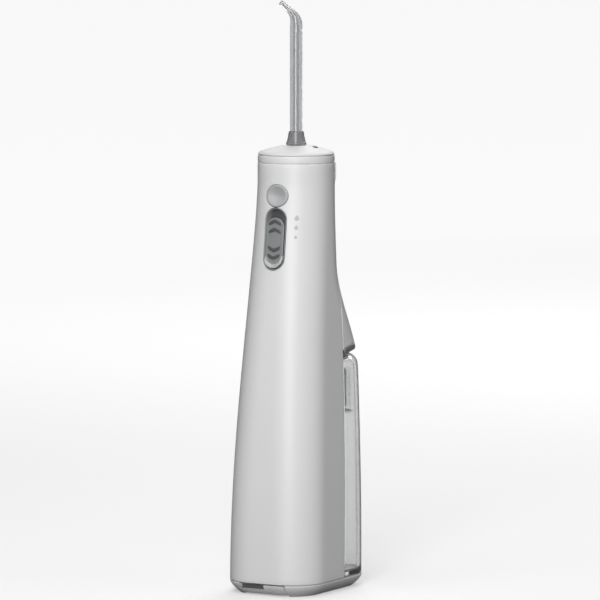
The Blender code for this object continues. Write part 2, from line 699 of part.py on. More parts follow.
def build_cells():
    for name, (x, y) in CELL_PLACES.items():
        top = CELL_LENGTH - 1.2
        turned(name, ((CELL_RADIUS - 0.5, 0.0), (CELL_RADIUS, 0.4), (CELL_RADIUS, top - 0.3),
                      (CELL_RADIUS - 0.4, top), (2.75, top + 0.05), (2.75, CELL_LENGTH)), "cell_jacket",
               (x, y, CELL_BASE), steps=16)
    prism("battery_plate_top", rounded_box(-12.0, 12.0, -24.5, -4.0, 4.0, 4), 60.1, 60.7, "nickel")
    ceiling = loft("battery_ceiling", [outline(z, WALL + GAP, z) for z in (61.4, 63.4)], "nylon")
    boolean(ceiling, behind_plane("ceiling_cut", -WALL - 0.6, 40.0, 130.0))
    boolean(ceiling, rod("ceiling_hose_hole", 2.5, 58.0, 66.0, None, (0.0, -1.2, 0.0)))


def build_motor():
    turned("motor_can", ((3.0, MOTOR_BASE), (MOTOR_RADIUS - 0.6, MOTOR_BASE + 0.6),
                         (MOTOR_RADIUS, MOTOR_BASE + 1.2), (MOTOR_RADIUS, MOTOR_TOP - 3.4)), "steel",
           (0.0, MOTOR_Y, 0.0))
    turned("motor_end_cap", ((1.4, MOTOR_TOP - 3.1), (MOTOR_RADIUS, MOTOR_TOP - 3.1),
                             (MOTOR_RADIUS, MOTOR_TOP), (1.4, MOTOR_TOP)), "dark_grey",
           (0.0, MOTOR_Y, 0.0), hollow=True)
    rod("motor_shaft", 1.0, MOTOR_TOP - 2.8, 97.4, "steel", (0.0, MOTOR_Y, 0.0), steps=16)


def build_pinion():
    """Pinion outline: eight trapezoid teeth around the root circle."""
    root = PINION_RADIUS - 0.85
    tip = PINION_RADIUS + 0.65
    points = []
    for i in range(PINION_TEETH):
        middle = math.tau * (i + 0.5) / PINION_TEETH
        pitch = math.tau / PINION_TEETH
        for radius, share in ((root, -0.26), (tip, -0.10), (tip, 0.10), (root, 0.26)):
            angle = middle + pitch * share
            points.append((radius * math.cos(angle), radius * math.sin(angle)))
    place = Matrix.Translation(Vector((0.0, MOTOR_Y, 0.0)))
    pinion = prism("pinion", points, 92.2, 96.6, "nylon", place, (0.0, MOTOR_Y, MESH_HEIGHT))
    boolean(pinion, rod("pinion_bore", 1.1, 90.0, 99.0, None, (0.0, MOTOR_Y, 0.0), steps=16))


def build_crown_gear():
    """Crown gear with its teeth towards the pinion and the crank pin on the other face."""
    inner = GEAR_RADIUS - 2.0
    outer = GEAR_RADIUS + 1.6
    tooth_height = 1.6
    half_root = 0.50
    half_tip = 0.30
    back = GEAR_FACE_Y + GEAR_THICKNESS
    pitch = math.tau / GEAR_TEETH
    # The toothed ring is one closed loop of four rings, alternating between root and tooth top.
    rings = [[], [], [], []]
    for i in range(GEAR_TEETH):
        middle = pitch * i
        for side, height in ((-half_root, 0.0), (-half_tip, tooth_height), (half_tip, tooth_height),
                             (half_root, 0.0)):
            for index, radius in ((0, inner), (1, outer)):
                angle = middle + side / GEAR_RADIUS
                x = radius * math.cos(angle)
                z = radius * math.sin(angle)
                rings[index].append(Vector((x, GEAR_FACE_Y - height, GEAR_Z + z)))
                rings[3 - index].append(Vector((x, back, GEAR_Z + z)))
    data = bmesh.new()
    bridge(data, rings, closed=True)
    gear = make_object("crown_gear", data, "nylon", (0.0, GEAR_FACE_Y, GEAR_Z))
    web_centre = (0.0, 0.0, GEAR_Z)
    web = rod("gear_web", inner + 0.8, GEAR_FACE_Y + 0.4, back - 0.4, None, web_centre, (0, 1, 0), 32)
    hub = rod("gear_hub", 4.2, GEAR_FACE_Y - 3.4, back - 0.2, None, web_centre, (0, 1, 0), 24)
    pin = rod("crank_pin", CRANK_PIN_RADIUS, back - 0.8, back + 3.3, None,
              (0.0, 0.0, GEAR_Z + CRANK_THROW), (0, 1, 0), 16)
    union(gear, web, hub, pin)
    boolean(gear, rod("gear_bore", AXLE_RADIUS + 0.12, GEAR_FACE_Y - 6.0, back - 1.3, None, web_centre,
                      (0, 1, 0), 24))


def build_drive_frame():
    back_y = MOTOR_Y - 7.3
    frame = block("drive_frame", (-11.0, -25.5, MOTOR_TOP + GAP), (11.0, -9.3, 91.4), "nylon")
    plate = block("axle_plate", (-7.5, back_y, 91.0), (7.5, back_y + 2.0, 139.5), None)
    shelf = block("cylinder_shelf", (-7.5, back_y, 138.0), (7.5, 1.6, 140.0), None)
    axle = rod("gear_axle_post", AXLE_RADIUS, back_y + 0.5, GEAR_FACE_Y + 0.6, None, (0.0, 0.0, GEAR_Z),
               (0, 1, 0), 24)
    union(frame, plate, shelf, axle)
    boolean(frame, rod("frame_shaft_hole", 1.6, 85.0, 95.0, None, (0.0, MOTOR_Y, 0.0), steps=16))
    boolean(frame, rod("frame_stem_hole", 5.4, 130.0, 145.0, None, (0.0, PUMP_Y, 0.0)))


def build_connecting_rod():
    low = GEAR_Z + CRANK_THROW
    high = low + ROD_LENGTH
    back = GEAR_FACE_Y + GEAR_THICKNESS
    near = back + 0.4
    far = near + 2.3
    rod_body = rod("connecting_rod", ROD_EYE_RADIUS, near, far, "acetal", (0.0, 0.0, low), (0, 1, 0))
    eye = rod("rod_eye", ROD_EYE_RADIUS, near, far, None, (0.0, 0.0, high), (0, 1, 0))
    bar = block("rod_bar", (-1.3, near + 0.1, low + 1.0), (1.3, far - 0.1, high - 1.0), None)
    union(rod_body, bar, eye)
    boolean(rod_body, rod("rod_bore", CRANK_PIN_RADIUS + 0.1, near - 2.0, far + 2.0, None, (0.0, 0.0, low),
                          (0, 1, 0), 16))


def build_piston():
    eye_z = GEAR_Z + CRANK_THROW + ROD_LENGTH
    slack = 2.0 * CRANK_THROW + 0.4
    half_window = ROD_EYE_RADIUS + CRANK_THROW + 0.4
    low = eye_z - ROD_EYE_RADIUS - slack
    high = eye_z + ROD_EYE_RADIUS + slack
    near = GEAR_FACE_Y + GEAR_THICKNESS + 0.3
    piston = block("piston", (-half_window - 1.3, near, low - 1.6), (half_window + 1.3, near + 2.9, high + 1.4),
                   "acetal")
    window = block("crosshead_window", (-half_window, near - 2.0, low), (half_window, near + 5.0, high), None)
    boolean(piston, window)
    boolean(piston, block("rod_passage", (-1.3 - CRANK_THROW - 0.4, near - 2.0, low - 3.0),
                          (1.3 + CRANK_THROW + 0.4, near + 5.0, low + 1.0), None))
    stem = rod("piston_stem", 1.4, high + 0.6, 147.0, None, (0.0, PUMP_Y, 0.0), steps=16)
    head = turned("piston_head", ((4.7, 146.0), (4.7, 147.4), (3.8, 147.4), (3.8, 149.0), (4.7, 149.0),
                                  (4.7, 150.4)), None, (0.0, PUMP_Y, 0.0))
    union(piston, stem, head)
    ring("piston_seal", 4.0, 4.85, 147.6, 148.8, "rubber", (0.0, PUMP_Y, 0.0))


def build_pump():
    turned("pump_cylinder", ((CYLINDER_BORE, CYLINDER_BASE), (8.2, CYLINDER_BASE), (8.2, 142.3),
                             (6.6, 142.3), (6.6, CYLINDER_TOP), (1.5, CYLINDER_TOP), (1.5, 158.0),
                             (CYLINDER_BORE, 158.0)), "acetal", (0.0, PUMP_Y, 0.0), hollow=True)
    valve_block = block("valve_block", (-9.0, PUMP_Y - 5.0, CYLINDER_TOP + GAP), (9.0, PUMP_Y + 5.0, 170.0),
                        "acetal")
    boolean(valve_block, block("valve_channel", (-5.6, PUMP_Y - 1.1, 160.0), (5.6, PUMP_Y + 1.1, 162.6), None))
    cover = block("valve_cover", (-9.0, PUMP_Y - 5.0, 170.3), (9.0, PUMP_Y + 5.0, 172.3), "acetal")
    for side, label in ((-1.0, "inlet"), (1.0, "outlet")):
        place = (side * VALVE_X, PUMP_Y, 0.0)
        boolean(valve_block, rod(label + "_chamber", 2.9, VALVE_SEAT_Z, 171.0, None, place))
        boolean(valve_block, rod(label + "_seat", 1.1, 162.0, VALVE_SEAT_Z + 1.0, None, place, steps=16))
        union(cover, rod(label + "_nipple", 1.9, 171.0, 177.0, None, place, steps=16))
        boolean(cover, rod(label + "_nipple_bore", 0.9, 169.0, 179.0, None, place, steps=12))
        turned(label + "_valve", ((2.4, VALVE_SEAT_Z + 0.1), (2.4, 165.1), (0.8, 165.3), (0.8, 166.6)),
               "rubber", place, steps=12)
        coil(label + "_spring", place[:2], 1.7, 165.4, 170.1, 3.0, 0.22, "steel")


def build_water_lines():
    hose_points = ((0.0, -1.2, 23.3), (0.0, -1.2, 60.0), (0.0, -1.2, 108.0), (0.0, 1.0, 120.0),
                   (0.0, 5.2, 130.0), (0.0, 5.6, 145.0), (0.0, 5.2, 168.0), (-1.2, 3.8, 178.0),
                   (-3.2, -0.5, 184.0), (-4.4, -4.8, 183.4), (-VALVE_X, PUMP_Y, 179.0),
                   (-VALVE_X, PUMP_Y, 177.3))
    pipe("suction_hose", smooth_path(hose_points, 1), 1.9, 1.1, "hose", sides=8)
    delivery_points = ((VALVE_X, PUMP_Y, 177.3), (VALVE_X, PUMP_Y, 181.0), (3.2, -4.4, 188.0),
                       (0.6, -0.8, 194.0), (0.0, 0.0, 198.0), (0.0, 0.0, 200.7))
    pipe("delivery_tube", smooth_path(delivery_points, 1), 1.9, 1.1, "hose", sides=8)
    port_points = ((0.0, 8.6, PORT_Z), (0.0, 3.0, PORT_Z), (0.0, 0.4, PORT_Z + 0.3), (0.0, -1.0, PORT_Z + 1.8),
                   (0.0, -1.2, PORT_Z + 3.4), (0.0, -1.2, 23.0))
    pipe("docking_port", smooth_path(port_points, 1), 2.1, 1.2, "nylon", sides=10)
    ring("port_oring", 2.3, 3.0, split_y(PORT_Z) + 0.9, split_y(PORT_Z) + 2.0, "rubber",
         (0.0, 0.0, PORT_Z), (0, 1, 0), 20)


clear_scene()
build_front_housing()
build_rear_cover()
build_plinth()
build_battery_door()
build_tank_bay_wall()
build_neck_parts()
build_knob()
build_tip()
build_eject()
build_switch()
build_reservoir()
build_fill_door()
build_latches()
build_cells()
build_motor()
build_pinion()
build_crown_gear()
build_drive_frame()
build_connecting_rod()
build_piston()
build_pump()
build_water_lines()
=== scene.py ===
"""Looks of the water flosser: fine shells, moulded details, materials, floor, light and camera.

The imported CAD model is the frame. Sizes are in millimetres, and the main heights and reaches are read
from the frame's boxes; meshes are written in metres.
"""

import json
import math

import bmesh
import bpy
from mathutils import Matrix, Vector


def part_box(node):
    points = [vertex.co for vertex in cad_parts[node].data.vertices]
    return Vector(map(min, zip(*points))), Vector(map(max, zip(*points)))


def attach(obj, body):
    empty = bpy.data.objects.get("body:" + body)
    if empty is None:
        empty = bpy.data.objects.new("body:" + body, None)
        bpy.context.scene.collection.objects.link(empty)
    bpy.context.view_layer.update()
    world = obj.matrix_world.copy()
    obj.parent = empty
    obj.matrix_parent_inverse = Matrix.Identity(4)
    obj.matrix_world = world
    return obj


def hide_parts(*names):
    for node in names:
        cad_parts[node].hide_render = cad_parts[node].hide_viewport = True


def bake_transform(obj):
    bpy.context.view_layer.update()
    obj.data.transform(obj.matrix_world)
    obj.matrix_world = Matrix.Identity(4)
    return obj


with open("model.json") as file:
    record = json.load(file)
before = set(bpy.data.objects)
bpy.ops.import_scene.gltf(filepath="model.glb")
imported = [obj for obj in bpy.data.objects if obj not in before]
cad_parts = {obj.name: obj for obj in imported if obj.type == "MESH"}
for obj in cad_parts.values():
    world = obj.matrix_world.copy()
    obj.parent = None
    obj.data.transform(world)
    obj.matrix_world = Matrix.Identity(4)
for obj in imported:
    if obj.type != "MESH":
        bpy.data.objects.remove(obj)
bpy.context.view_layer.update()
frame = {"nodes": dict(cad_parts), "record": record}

MM = 0.001


def low(node):
    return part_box(node)[0] / MM


def high(node):
    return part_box(node)[1] / MM


# ---- sizes from the frame

NECK_RADIUS = high("neck_ring").x
BASE_REACH = high("reservoir").y + 0.3
PLINTH_TOP = high("base_plinth").z
HOUSING_LOW = low("front_housing").z
HOUSING_TOP = high("front_housing").z
RING_LOW = low("neck_ring").z
RING_TOP = high("neck_ring").z
KNOB_TOP = high("nozzle_knob").z
COLLAR_LOW = low("tip_collar").z
COLLAR_TOP = high("tip_collar").z
TANK_LOW = low("reservoir").z
TANK_TOP = high("reservoir").z
SHOULDER_FLOOR = low("rear_cover").z

# Shape of the housing's outline
BASE_HALF_WIDTH = 26.0
FLARE_TOP = 205.0
WIDTH_FLARE_POWER = 1.5
FRONT_FLARE_POWER = 1.15
SHOULDER_TOP = 165.0
SHOULDER_FOOT = 108.0
TANK_CORNER_TOP = 16.5
TANK_CORNER_BASE = 19.5
TANK_HEIGHT = 118.0
MIN_FLAT = 0.25
WALL = 2.0
GAP = 0.3
SPLIT_BASE = 3.2
SPLIT_LEAN = 0.043
ARC_STEPS = 28
SHELL_EDGE = 0.35

# Switch and eject button
SWITCH_Z = 178.35
SWITCH_WIDTH = 12.3
SWITCH_LENGTH = 31.3
SLIDER_WIDTH = 10.4
SLIDER_LENGTH = 25.4
EJECT_Z = 199.8
EJECT_WIDTH = 12.4
EJECT_HEIGHT = 11.2
CHEVRONS = ((11.0, 1.0), (6.9, 1.0), (-3.6, -1.0), (-7.4, -1.0))
CHEVRON_REACH = 3.5
CHEVRON_LEAN = 0.5
CHEVRON_HALF_THICKNESS = 0.88
# First ring of the switch pocket's floor that is coloured dark as painted shade.
POCKET_SHADE_RING = 9

# Battery door: its pin, panel, front tab and the tab's recess
DOOR_PIN_Y = 1.7
DOOR_PIN_Z = 2.3
PLINTH_TAPER = 5.0
PLINTH_OUTLINE_Z = 6.0
OPENING_HALF_WIDTH = 15.4
OPENING_FRONT = -27.0
OPENING_BACK = 0.5
PANEL_HALF_WIDTH = 15.1
PANEL_FRONT = -26.7
PANEL_BACK = -0.9
PANEL_LOW = 0.8
PANEL_TOP = 3.2
NOTCH_HALF_WIDTH = 13.2
TAB_HALF_WIDTH = 12.6
TAB_TOP = 5.7
KNUCKLE_HALF_WIDTH = 8.0
RECESS_LEFT = -11.5
RECESS_RIGHT = 1.5
RECESS_LOW = 3.5
RECESS_BACK = -33.4
GRIP_GROOVES = 5
GRIP_PITCH = 1.6
GRIP_FRONT = -21.0

# Reservoir: port, fill mouth, fill door and side latches
PORT_Z = 18.0
MOUTH_HALF_WIDTH = 11.5
MOUTH_LOW = 86.0
MOUTH_TOP = 110.5
LID_HALF_WIDTH = 11.2
LID_LOW = 87.9
LID_TOP = 110.2
LID_PIN_Y = 34.2
LID_PIN_Z = 87.4
LATCH_Y = 15.2
LATCH_Z = 121.2
LATCH_TILT = 11.0
LATCH_HALF_LENGTH = 5.4
LATCH_HALF_HEIGHT = 1.6
LATCH_GROOVE_PITCH = 1.9

# Screws and valve springs
COVER_SCREW_Z = 195.0
BASE_SCREW_X = 18.2
BASE_SCREW_Y = -8.0
SPRING_WIRE = 0.22
SPRING_TURNS = 3.0

# Jet tip
TIP_RADIUS = 3.1
TIP_BORE = 1.55
NOSE_RADIUS = 1.4
NOSE_BORE = 0.5
NOSE_LENGTHS = (1.65, 3.3, 4.95, 6.2, 6.6)
TIP_BEND_START = 284.8
TIP_BEND_RADIUS = 9.0
TIP_BEND_DEGREES = 48.0

# Camera, in metres; the tip's nose points to the left of its picture
CAMERA_AZIMUTH = math.radians(30.0)
CAMERA_DISTANCE = 2.5
CAMERA_HEIGHT = 0.38
AIM_HEIGHT = 0.146
AIM_SIDE = 0.0019
VIEW_WIDTH = 0.3020


# ---- materials

def put(node, socket, value):
    node.inputs[socket].default_value = value


def new_material(name):
    """Material with its nodes, links and shader."""
    material = bpy.data.materials.new(name)
    material.use_nodes = True
    nodes = material.node_tree.nodes
    links = material.node_tree.links
    return material, nodes, links, nodes["Principled BSDF"]


def noise(nodes, links, scale, detail=4.0, stretch=(1.0, 1.0, 1.0)):
    """Noise in object space; scale counts features per metre."""
    coordinates = nodes.new("ShaderNodeTexCoord")
    mapping = nodes.new("ShaderNodeMapping")
    put(mapping, "Scale", stretch)
    texture = nodes.new("ShaderNodeTexNoise")
    put(texture, "Scale", scale)
    put(texture, "Detail", detail)
    links.new(coordinates.outputs["Object"], mapping.inputs["Vector"])
    links.new(mapping.outputs["Vector"], texture.inputs["Vector"])
    return texture.outputs["Fac"]


def vary_colour(nodes, links, shader, factor, first, second):
    mix = nodes.new("ShaderNodeMix")
    mix.data_type = "RGBA"
    put(mix, "A", (*first, 1.0))
    put(mix, "B", (*second, 1.0))
    links.new(factor, mix.inputs["Factor"])
    links.new(mix.outputs["Result"], shader.inputs["Base Color"])


def vary_roughness(nodes, links, shader, factor, least, most):
    spread = nodes.new("ShaderNodeMapRange")
    put(spread, "To Min", least)
    put(spread, "To Max", most)
    links.new(factor, spread.inputs["Value"])
    links.new(spread.outputs["Result"], shader.inputs["Roughness"])


def add_bump(nodes, links, shader, factor, depth_mm, strength=1.0):
    bump = nodes.new("ShaderNodeBump")
    put(bump, "Distance", depth_mm * MM)
    put(bump, "Strength", strength)
    links.new(factor, bump.inputs["Height"])
    links.new(bump.outputs["Normal"], shader.inputs["Normal"])


def moulded(name, colour, roughness, grain_mm=0.006, grain_scale=2600.0, tint=0.03):
    """Moulded plastic with a fine sparked grain and slightly uneven gloss."""
    material, nodes, links, shader = new_material(name)
    darker = [c * (1.0 - tint) for c in colour]
    vary_colour(nodes, links, shader, noise(nodes, links, 35.0, 3.0), darker, colour)
    vary_roughness(nodes, links, shader, noise(nodes, links, 420.0, 3.0), roughness * 0.88, roughness * 1.14)
    add_bump(nodes, links, shader, noise(nodes, links, grain_scale, 2.0), grain_mm)
    return material


def clear_plastic(name, colour, roughness, transmission):
    """Clear moulding with faint flow ripples."""
    material, nodes, links, shader = new_material(name)
    darker = [c * 0.96 for c in colour]
    vary_colour(nodes, links, shader, noise(nodes, links, 60.0, 2.0), darker, colour)
    vary_roughness(nodes, links, shader, noise(nodes, links, 240.0, 3.0), roughness * 0.8, roughness * 1.2)
    add_bump(nodes, links, shader, noise(nodes, links, 180.0, 2.0, (1.0, 1.0, 0.25)), 0.02)
    put(shader, "Transmission Weight", transmission)
    put(shader, "IOR", 1.49)
    return material


def paint_edge_shade(material, middle, edge, blend):
    """Painted shade: the base colour darkens towards grazing view, standing in for the dark edges that clear
    walls show where they are seen along their length.
    """
    nodes, links = material.node_tree.nodes, material.node_tree.links
    facing = nodes.new("ShaderNodeLayerWeight")
    put(facing, "Blend", blend)
    vary_colour(nodes, links, nodes["Principled BSDF"], facing.outputs["Fresnel"], middle, edge)


def metal(name, colour, roughness, stretch=(1.0, 1.0, 6.0)):
    """Bare metal with a drawn or turned grain."""
    material, nodes, links, shader = new_material(name)
    darker = [c * 0.88 for c in colour]
    grain = noise(nodes, links, 900.0, 3.0, stretch)
    vary_colour(nodes, links, shader, grain, darker, colour)
    vary_roughness(nodes, links, shader, grain, roughness * 0.7, roughness * 1.3)
    add_bump(nodes, links, shader, grain, 0.004)
    put(shader, "Metallic", 1.0)
    return material


def rubber(name, colour):
    return moulded(name, colour, 0.72, grain_mm=0.02, grain_scale=1600.0, tint=0.12)


WHITE = moulded("white_abs", (0.80, 0.80, 0.805), 0.40)
KNOB_WHITE = moulded("white_abs_knob", (0.76, 0.76, 0.765), 0.58)
put(KNOB_WHITE.node_tree.nodes["Principled BSDF"], "Specular IOR Level", 0.15)
LIGHT_GREY = moulded("light_grey_button", (0.47, 0.475, 0.48), 0.36)
# Lighter grey for the slider's lower lip: a painted highlight, a lit copy of the switch grey.
SLIDER_LIP_PAINTED_HIGHLIGHT = moulded("slider_lip_painted_highlight", (0.50, 0.505, 0.51), 0.34)
MID_GREY = moulded("mid_grey_switch", (0.27, 0.275, 0.28), 0.34)
# Dark grey for the dark_grey slot, also used as painted shade: the switch pocket's floor, the pad in the door
# tab's recess and the slider's ribs take it to stand in for shadow.
DARK_GREY_AND_PAINTED_SHADE = moulded("dark_grey_and_painted_recess_shade", (0.10, 0.102, 0.105), 0.42)
LATCH_GREY = moulded("latch_grey", (0.20, 0.203, 0.207), 0.40)
PRINT_GREY = moulded("printed_mark", (0.56, 0.565, 0.57), 0.50, tint=0.10)
DIMPLE_GREY = moulded("indicator_dark", (0.14, 0.14, 0.145), 0.40, tint=0.10)
COLLAR_SMOKE = clear_plastic("collar_smoke", (0.42, 0.42, 0.43), 0.22, 0.55)
TANK_CLEAR = clear_plastic("tank_clear", (0.90, 0.915, 0.92), 0.10, 0.93)
# Painted shade: the tank's base colour goes nearly black towards grazing view to stand in for its dark
# refracted edges.
paint_edge_shade(TANK_CLEAR, (0.985, 0.99, 0.995), (0.005, 0.005, 0.006), 0.345)
TIP_CLEAR = clear_plastic("tip_clear", (0.58, 0.59, 0.60), 0.07, 0.85)
SEAL = rubber("seal_rubber", (0.035, 0.035, 0.037))
SILICONE = moulded("grey_silicone", (0.33, 0.335, 0.34), 0.62, grain_mm=0.012, grain_scale=1600.0)
STEEL = metal("bright_steel", (0.62, 0.62, 0.63), 0.26)
NICKEL = metal("nickel_plate", (0.70, 0.67, 0.61), 0.22)
JACKET = moulded("cell_jacket", (0.045, 0.06, 0.085), 0.28, tint=0.2)
BOARD = moulded("board_green", (0.02, 0.16, 0.07), 0.40, tint=0.3)
NYLON = moulded("natural_nylon", (0.66, 0.64, 0.57), 0.48, tint=0.06)
ACETAL = moulded("white_acetal", (0.74, 0.73, 0.70), 0.36, tint=0.04)
HOSE = clear_plastic("soft_hose", (0.74, 0.75, 0.75), 0.32, 0.35)

SLOT_MATERIALS = {
    "white_abs": WHITE, "light_grey": LIGHT_GREY, "mid_grey": MID_GREY, "dark_grey": DARK_GREY_AND_PAINTED_SHADE,
    "clear_tip": TIP_CLEAR, "clear_tank": TANK_CLEAR, "rubber": SEAL, "steel": STEEL,
    "nickel": NICKEL, "cell_jacket": JACKET, "motor_shell": STEEL, "board": BOARD,
    "nylon": NYLON, "acetal": ACETAL, "hose": HOSE,
}


def dress_frame():
    """Give every CAD node the finish of its slot."""
    for part in frame["record"]["subparts"]:
        item = frame["nodes"][part["node"]]
        item.data.materials.clear()
        item.data.materials.append(SLOT_MATERIALS[part["material_slot"]])
    frame["nodes"]["fill_door_seal"].data.materials[0] = SILICONE


# ---- mesh helpers

def make_piece(name, mesh_data, material, body, replaced=(), sharp=40.0):
    """Turn a bmesh in millimetres into a piece that rides on a body."""
    for vertex in mesh_data.verts:
        vertex.co *= MM
    bmesh.ops.recalc_face_normals(mesh_data, faces=mesh_data.faces)
    mesh = bpy.data.meshes.new(name)
    mesh_data.to_mesh(mesh)
    mesh_data.free()
    mesh.shade_smooth()
    mesh.set_sharp_from_angle(angle=math.radians(sharp))
    item = bpy.data.objects.new(name, mesh)
    bpy.context.scene.collection.objects.link(item)
    if material is not None:
        mesh.materials.append(material)
    if body is not None:
        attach(item, body)
    if replaced:
        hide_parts(*replaced)
    return item


def loft(rings, closed=False):
    """Mesh with quads between neighbouring rings; an open stack gets a cap at each end."""
    data = bmesh.new()
    rows = [[data.verts.new(point) for point in ring] for ring in rings]
    count = len(rows[0])
    pairs = list(zip(rows, rows[1:]))
    if closed:
        pairs.append((rows[-1], rows[0]))
    for lower, upper in pairs:
        for i in range(count):
            j = (i + 1) % count
            data.faces.new((lower[i], lower[j], upper[j], upper[i]))
    if not closed:
        data.faces.new(list(reversed(rows[0])))
        data.faces.new(rows[-1])
    return data


def cutter(name, data):
    """Closed mesh for a Boolean; apply_cut removes it."""
    return make_piece(name, data, None, None)


def apply_cut(item, tool, operation="DIFFERENCE"):
    """Boolean, applied at once; the tool is then removed."""
    modifier = item.modifiers.new("cut", "BOOLEAN")
    modifier.operation = operation
    modifier.object = tool
    bpy.context.view_layer.update()
    graph = bpy.context.evaluated_depsgraph_get()
    result = bpy.data.meshes.new_from_object(item.evaluated_get(graph), depsgraph=graph)
    old = item.data
    item.modifiers.clear()
    item.data = result
    bpy.data.meshes.remove(old)
    bpy.data.objects.remove(tool)


def soften(item, width=0.25, segments=3, angle=35.0):
    """Small rounded edges."""
    bevel = item.modifiers.new("soft_edges", "BEVEL")
    bevel.width = width * MM
    bevel.segments = segments
    bevel.limit_method = "ANGLE"
    bevel.angle_limit = math.radians(angle)
    bevel.harden_normals = True


def rounded(points, closed=True, steps=4):
    """Round the corners of a profile; points are (x, y, radius)."""
    result = []
    count = len(points)
    for i, (x, y, radius) in enumerate(points):
        here = Vector((x, y))
        if radius <= 0.0 or (not closed and i in (0, count - 1)):
            result.append(here)
            continue
        before = Vector(points[i - 1][:2]) - here
        after = Vector(points[(i + 1) % count][:2]) - here
        angle = before.angle(after)
        reach = min(radius / math.tan(0.5 * angle), 0.49 * before.length, 0.49 * after.length)
        radius = reach * math.tan(0.5 * angle)
        bisector = (before.normalized() + after.normalized()).normalized()
        centre = here + bisector * (radius / math.sin(0.5 * angle))
        first = here + before.normalized() * reach - centre
        last = here + after.normalized() * reach - centre
        turn = first.angle_signed(last)
        for k in range(steps + 1):
            part = -turn * k / steps
            result.append(centre + Vector((first.x * math.cos(part) - first.y * math.sin(part),
                                           first.x * math.sin(part) + first.y * math.cos(part))))
    return result


def rectangle(half, start, end, radius, steps):
    """Rounded rectangle, centred across, as 2-D vectors."""
    return rounded(((-half, start, radius), (half, start, radius), (half, end, radius),
                    (-half, end, radius)), steps=steps)


def turned(profile, material, body, name, replaced=(), centre=(0.0, 0.0, 0.0), axis=(0, 0, 1),
           steps=96, steps_round=4):
    """Turned piece from a closed or pole-to-pole profile of (radius, height, corner radius)."""
    hollow = profile[0][0] > 0.0
    points = rounded(profile, closed=hollow, steps=steps_round)
    turn = Vector((0.0, 0.0, 1.0)).rotation_difference(Vector(axis)).to_matrix().to_4x4()
    place = Matrix.Translation(Vector(centre)) @ turn
    rings = []
    for radius, height in points:
        r = max(radius, 0.02)
        rings.append([place @ Vector((r * math.cos(math.tau * i / steps), r * math.sin(math.tau * i / steps),
                                      height)) for i in range(steps)])
    return make_piece(name, loft(rings, closed=hollow), material, body, replaced)


def box_mesh(a, b):
    """Box between two opposite corners."""
    data = bmesh.new()
    bmesh.ops.create_cube(data, size=1.0)
    bmesh.ops.scale(data, vec=[q - p for p, q in zip(a, b)], verts=data.verts)
    bmesh.ops.translate(data, vec=[0.5 * (p + q) for p, q in zip(a, b)], verts=data.verts)
    return data


def cut_box(item, a, b, operation="DIFFERENCE"):
    apply_cut(item, cutter("box_tool", box_mesh(a, b)), operation)


def bar_cutter(name, axis, centre, radius, ends, steps):
    """Round bar along an axis (0, 1 or 2 for x, y or z); centre holds the other two coordinates."""
    rings = []
    for end in ends:
        ring = []
        for i in range(steps):
            angle = math.tau * i / steps
            point = [centre[0] + radius * math.cos(angle), centre[1] + radius * math.sin(angle)]
            point.insert(axis, end)
            ring.append(Vector(point))
        rings.append(ring)
    return cutter(name, loft(rings))


def sweep_rings(path, radii, sides):
    """Rings square to a path, one radius for each of its points."""
    rings = []
    side = Vector((1.0, 0.0, 0.0))
    for i, point in enumerate(path):
        direction = (path[min(i + 1, len(path) - 1)] - path[max(i - 1, 0)]).normalized()
        side = (side - direction * side.dot(direction)).normalized()
        other = direction.cross(side)
        rings.append([point + radii[i] * (math.cos(math.tau * k / sides) * side
                                          + math.sin(math.tau * k / sides) * other) for k in range(sides)])
    return rings


# ---- housing outline

def flare(z, power):
    """1 at the foot, easing to 0 at FLARE_TOP."""
    return math.sin(0.5 * math.pi * max(0.0, 1.0 - z / FLARE_TOP)) ** power


def shoulder(z):
    """1 below SHOULDER_FOOT, easing to 0 at SHOULDER_TOP."""
    t = min(1.0, max(0.0, (SHOULDER_TOP - z) / (SHOULDER_TOP - SHOULDER_FOOT)))
    return t * t * (3.0 - 2.0 * t)


def half_width(z):
    return NECK_RADIUS + (BASE_HALF_WIDTH - NECK_RADIUS) * flare(z, WIDTH_FLARE_POWER)


def front_reach(z):
    return NECK_RADIUS + (BASE_REACH - NECK_RADIUS) * flare(z, FRONT_FLARE_POWER)


def back_reach(z):
    return NECK_RADIUS + (BASE_REACH - NECK_RADIUS) * shoulder(z)


def back_corner(z):
    share = min(1.0, max(0.0, z / TANK_HEIGHT))
    tank_corner = TANK_CORNER_BASE + (TANK_CORNER_TOP - TANK_CORNER_BASE) * share
    return NECK_RADIUS + (tank_corner - NECK_RADIUS) * shoulder(z)


def split_y(z):
    """Depth of the plane that parts the front from the tank and the rear cover."""
    return SPLIT_BASE + SPLIT_LEAN * min(z, TANK_HEIGHT)


def outline(z, inset=0.0):
    """Closed outline at height z as a list of (x, y), anticlockwise from the front centre."""
    width = half_width(z) - inset
    front = front_reach(z) - inset
    back = back_reach(z) - inset
    front_radius = min(NECK_RADIUS - inset, width - MIN_FLAT)
    back_radius = min(back_corner(z) - inset, width - MIN_FLAT)
    corners = (
        (width - front_radius, front_radius - front, front_radius, -90.0),
        (width - back_radius, back - back_radius, back_radius, 0.0),
        (back_radius - width, back - back_radius, back_radius, 90.0),
        (front_radius - width, front_radius - front, front_radius, 180.0),
    )
    points = [(0.0, -front)]
    for x, y, radius, start in corners:
        for i in range(ARC_STEPS + 1):
            angle = math.radians(start + 90.0 * i / ARC_STEPS)
            points.append((x + radius * math.cos(angle), y + radius * math.sin(angle)))
    return points


def crossing(a, b, y):
    """Where the line from a to b meets y."""
    t = (y - a[1]) / (b[1] - a[1])
    return (a[0] + (b[0] - a[0]) * t, y)


def clip_outline(points, split, front):
    """The part of a closed outline in front of, or behind, a split line, as an open path."""
    count = len(points)
    keep = [(p[1] < split) == front for p in points]
    start = next(i for i in range(count) if keep[i] and not keep[i - 1])
    path = [crossing(points[start - 1], points[start], split)]
    i = start
    while keep[i % count]:
        path.append(points[i % count])
        i += 1
    path.append(crossing(points[(i - 1) % count], points[i % count], split))
    return path


